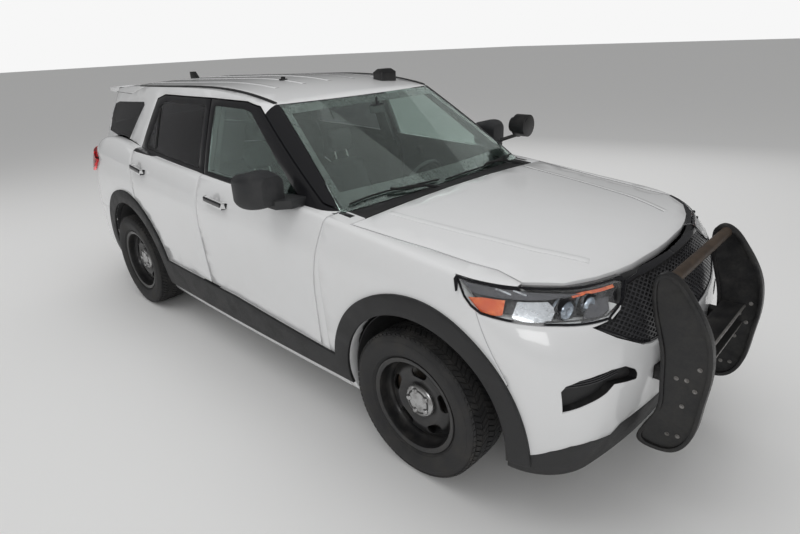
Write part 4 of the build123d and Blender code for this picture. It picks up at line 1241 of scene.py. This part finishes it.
def makeRim(name, lens, direction, width, finish):
    for side, sign in sides.items():
        outward = Vector((direction[0], sign * direction[1], direction[2])).normalized()
        rim = outerSkin(lens, sign, outward, 0.0006)
        inner = list(rim.faces)
        bmesh.ops.inset_region(
            rim, faces=inner, thickness=width, use_boundary=True, use_even_offset=True
        )
        bmesh.ops.delete(rim, geom=inner, context="FACES")
        thickened(rim, 0.0010)
        finished(rim, f"{name}_{side}", finish, angle=30)


def makeBowl(name, lens, replaced, direction, shrink, finish):
    for side, sign in sides.items():
        outward = Vector((direction[0], sign * direction[1], direction[2])).normalized()
        bowl = outerSkin(lens, sign, outward, -0.006)
        middle = sum((v.co for v in bowl.verts), Vector()) / len(bowl.verts)
        pushed = bmesh.ops.extrude_face_region(bowl, geom=list(bowl.faces))["geom"]
        verts = [item for item in pushed if isinstance(item, bmesh.types.BMVert)]
        faces = [item for item in pushed if isinstance(item, bmesh.types.BMFace)]
        bmesh.ops.scale(bowl, vec=(1, shrink, shrink), space=Matrix.Translation(-middle), verts=verts)
        bmesh.ops.translate(bowl, vec=-outward * 0.055, verts=verts)
        old = [face for face in bowl.faces if face not in faces]
        front = [face for face in old if all(vert not in verts for vert in face.verts)]
        bmesh.ops.delete(bowl, geom=front, context="FACES")
        thickened(bowl, 0.0012)
        piece = finished(bowl, f"{name}_{side}", finish, angle=30)
        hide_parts(replaced)


lampFacing = (0.72, 0.62, 0.15)
makeBowl("headlamp_bowl", "headlamp_lenses", "headlamp_housings", lampFacing, 0.94, "lamp_body")
makeRim("headlamp_edge", "headlamp_lenses", lampFacing, 0.010, "gloss_black")
print("lamp bowls")
# Spotlight: a turned head with a bright face
spotFacts = {
    "centre": (-610, 905, 1385),
    "aim": (0.94, 0.18, -0.20),
    "head": [
        (-0.062, 0.0), (-0.060, 0.022), (-0.050, 0.040), (-0.030, 0.056), (0.0, 0.066),
        (0.024, 0.0695), (0.032, 0.0705), (0.034, 0.068), (0.033, 0.064), (0.020, 0.060),
    ],
    "lens": [(0.030, 0.0), (0.0295, 0.040), (0.026, 0.0615), (0.021, 0.063)],
    "led": [(0.033, 0.0), (0.0325, 0.006), (0.029, 0.0095)],
    "rings": ((0.0, 1), (0.024, 6), (0.046, 12)),
}
spotAxis = Vector(spotFacts["aim"]).normalized()
spotCentre = at(*spotFacts["centre"])
for label, finishName in (("head", "gloss_black"), ("lens", "led_glow")):
    shape = bmesh.new()
    addTurned(shape, spotFacts[label], spotCentre, spotAxis, 48)
    finished(shape, f"spotlight_{label}", finishName)
shape = bmesh.new()
aside = spotAxis.orthogonal().normalized()
for ring, count in spotFacts["rings"]:
    for number in range(count):
        spot = spotCentre + Matrix.Rotation(2 * math.pi * number / count, 3, spotAxis) @ (aside * ring)
        addTurned(shape, spotFacts["led"], spot, spotAxis, 14)
finished(shape, "spotlight_leds", "projector")
print("spotlight")

# Seats, swollen as cloth from blocks a little smaller than the finished cushions
seatPads = {
    # name: low corner and high corner as (ahead, across, height), lean in degrees
    "front_cushion": ((-1800, 150, 425), (-1270, 590, 560), -4),
    "front_back": ((-1915, 155, 560), (-1790, 585, 1130), 17),
    "front_headrest": ((-2000, 255, 1165), (-1905, 485, 1340), 10),
    "rear_cushion": ((-2720, -520, 440), (-2170, 520, 560), -4),
    "rear_back": ((-2845, -520, 560), (-2730, 520, 1090), 14),
}
cushion = {
    "cell": 0.011,
    "pressure": 4,
    "quality": 4,
    "frames": 20,
    "cap": 0.016,
    "fill": 0.6,
    "cuts": 5,
    "cornersIn": 0.10,
    "edgesIn": 0.05,
    "rounding": 0.22,  # share of the least thickness
}


def swollen(piece, settings):
    # Cloth blown up from inside, with a limit on how far any point moves.
    remesh = piece.modifiers.new("remesh", "REMESH")
    remesh.mode = "VOXEL"
    remesh.voxel_size = settings["cell"]
    bpy.context.view_layer.objects.active = piece
    piece.select_set(True)
    bpy.ops.object.modifier_apply(modifier=remesh.name)
    before = [vert.co.copy() for vert in piece.data.vertices]
    blown = piece.modifiers.new("swelling", "CLOTH")
    blown.settings.use_pressure = True
    blown.settings.uniform_pressure_force = settings["pressure"]
    blown.settings.effector_weights.gravity = 0
    blown.settings.quality = settings["quality"]
    for number in range(settings["frames"]):
        scene.frame_set(number + 1)
    bpy.ops.object.modifier_apply(modifier=blown.name)
    scene.frame_set(1)
    for vert, old in zip(piece.data.vertices, before):
        moved = vert.co - old
        if moved.length > settings["cap"]:
            vert.co = old + moved.normalized() * settings["cap"]
    piece.select_set(False)


def makePad(name, low, high, lean, settings):
    shape = bmesh.new()
    a = at(*low)
    b = at(*high)
    bmesh.ops.create_cube(shape, size=1)
    bmesh.ops.subdivide_edges(
        shape, edges=list(shape.edges), cuts=settings["cuts"], use_grid_fill=True
    )
    bmesh.ops.scale(shape, vec=b - a, verts=shape.verts)
    for vert in shape.verts:  # corners drawn in
        part = Vector([2 * abs(vert.co[axis]) / (b - a)[axis] for axis in range(3)])
        for axis in range(3):
            first, second = [part[other] for other in range(3) if other != axis]
            corner = settings["cornersIn"] * max(0, first * second) ** 3
            vert.co[axis] *= 1 - corner - settings["edgesIn"] * max(first, second) ** 4
    bmesh.ops.bevel(
        shape,
        geom=[edge for edge in shape.edges if edge.calc_face_angle(0) > 1.0],
        offset=min(b - a) * settings["rounding"],
        segments=3,
        profile=0.5,
        affect="EDGES",
        material=-1,
    )
    bmesh.ops.rotate(shape, matrix=Matrix.Rotation(math.radians(-lean), 3, "Y"), verts=shape.verts)
    bmesh.ops.translate(shape, vec=(a + b) / 2, verts=shape.verts)
    piece = meshed(shape, name, "seat_cloth")
    swollen(piece, settings)
    for face in piece.data.polygons:
        face.use_smooth = True
    return piece


def placed(piece, name, replaced, mirrored=False):
    # Hands a pad over, or a copy of it on the other side.
    if mirrored:
        mesh = piece.data.copy()
        mesh.transform(Matrix.Diagonal((1, -1, 1, 1)))
        mesh.flip_normals()
        piece = bpy.data.objects.new(name, mesh)
        scene.collection.objects.link(piece)
    more = piece.modifiers.new("smooth", "SUBSURF")
    more.levels = more.render_levels = 1
    piece.name = name
    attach(piece, "body")
    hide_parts(replaced)


for label, (low, high, lean) in seatPads.items():
    pad = makePad(label, low, high, lean, cushion)
    if label.startswith("front"):
        placed(pad, f"{label}_left", "front_seat_left")
        placed(pad, f"{label}_right", "front_seat_right", True)
    else:
        placed(pad, label, "rear_seat")
for side, sign in sides.items():
    shape = bmesh.new()
    for post in (310, 430):
        addRod(shape, at(-1930, sign * post, 1110), at(-1955, sign * post, 1200), 0.006, around=12)
    finished(shape, f"headrest_posts_{side}", "bright_steel")
    shape = bmesh.new()
    middle = sign * 370
    addBox(shape, at(-1800, middle - 200, 330), at(-1300, middle + 200, 440), 0.02)
    for rail in (middle - 150, middle + 150):
        addBox(shape, at(-1830, rail - 18, 292), at(-1290, rail + 18, 332), 0.004)
    finished(shape, f"seat_base_{side}", "cabin_plastic")
print("seats")

# Dashboard: screens, vents, glovebox, top pad, and the inner mirror
dashSkin = surfaceOf("dashboard")
dashParts = {
    # name: two corners as (across, height), how far the top is drawn in, lift, thickness, finish
    "centre_screen": ((-130, 960), (130, 1070), 0, 12, 10, "screen_glass"),
    "gauge_cluster": ((250, 1052), (490, 1094), 10, 3, 3, "screen_glass"),
    "vent_outer_left": ((640, 1000), (760, 1050), 0, 6, 6, "gloss_black"),
    "vent_outer_right": ((-760, 1000), (-640, 1050), 0, 6, 6, "gloss_black"),
    "glovebox": ((-620, 890), (-200, 975), 0, 4, 4, "cabin_trim"),
    "centre_panel": ((-130, 880), (130, 945), 0, 8, 8, "gloss_black"),
}
dashPitch = 0.04
for label, ((right, low), (left, high), tapered, lift, thick, finishName) in dashParts.items():
    quad = [(right, low), (left, low), (left - tapered, high), (right + tapered, high)]
    outline = [Vector((0, y / 1000, z / 1000)) for y, z in quad]
    shape = laid(outline, dashSkin, (-2.0, 0, 0), (1, 0, 0), lift / 1000, dashPitch)
    thickened(shape, thick / 1000)
    finished(shape, f"dash_{label}", finishName)
outline = [at(-600, -760, 0), at(-600, 760, 0), at(-850, 760, 0), at(-850, -760, 0)]
shape = laid(outline, dashSkin, (0, 0, 3), down, 0.004, dashPitch)
thickened(shape, 0.004)
finished(shape, "dash_top_pad", "cabin_plastic")
shape = bmesh.new()
addBox(shape, at(-1130, -62, 1545), at(-1105, 62, 1600), 0.010, 3)
addRod(shape, at(-1110, 0, 1575), at(-1120, 0, 1640), 0.008)
finished(shape, "inner_mirror", "cabin_plastic")
print("cabin")

# Tail: high brake lamp, gate trim and wiper, step pad, insert, reflectors and plate panel
gateSkin = surfaceOf("liftgate", "liftgate_glass")
bumperRear = surfaceOf("rear_bumper_cover")
tailLines = {
    # name: points of (across, height), width, lift, thickness, finish
    "high_brake_lamp": ([(-170, 1662), (170, 1662)], 16, 2, 4, "red_reflector"),
    "gate_trim": ([(-540, 1290), (0, 1296), (540, 1290)], 22, 4, 6, "gloss_black"),
    "gate_crease": ([(-600, 1010), (0, 1016), (600, 1010)], 20, 2, 4, "white_paint"),
    "rear_wiper": ([(-20, 1408), (150, 1420), (330, 1424)], 12, 12, 9, "satin_black"),
}
stepLines = {
    "rear_step_pad": ([(-560, 640), (0, 640), (560, 640)], 60, 3, 5, "black_plastic"),
    "rear_insert": ([(-640, 420), (0, 420), (640, 420)], 150, 3, 5, "black_plastic"),
    "rear_reflector_left": ([(560, 520), (700, 524)], 30, 3, 5, "red_reflector"),
    "rear_reflector_right": ([(-700, 524), (-560, 520)], 30, 3, 5, "red_reflector"),
    "plate_panel": ([(-160, 560), (160, 560)], 100, 2, 4, "gloss_black"),
}
tailAhead = (rearAxle - frontAxle) * 1000 - 1200
for skin, body, count, strips in (
    (gateSkin, "liftgate", 24, tailLines),
    (bumperRear, "body", 30, stepLines),
):
    for label, (points, width, lift, thick, finishName) in strips.items():
        path = frontLine(points, 1, count, tailAhead)
        ribbon(label, skin, (1, 0, 0), path, width, thick, finishName, lift, body, rounding=1.2)
print("tail")
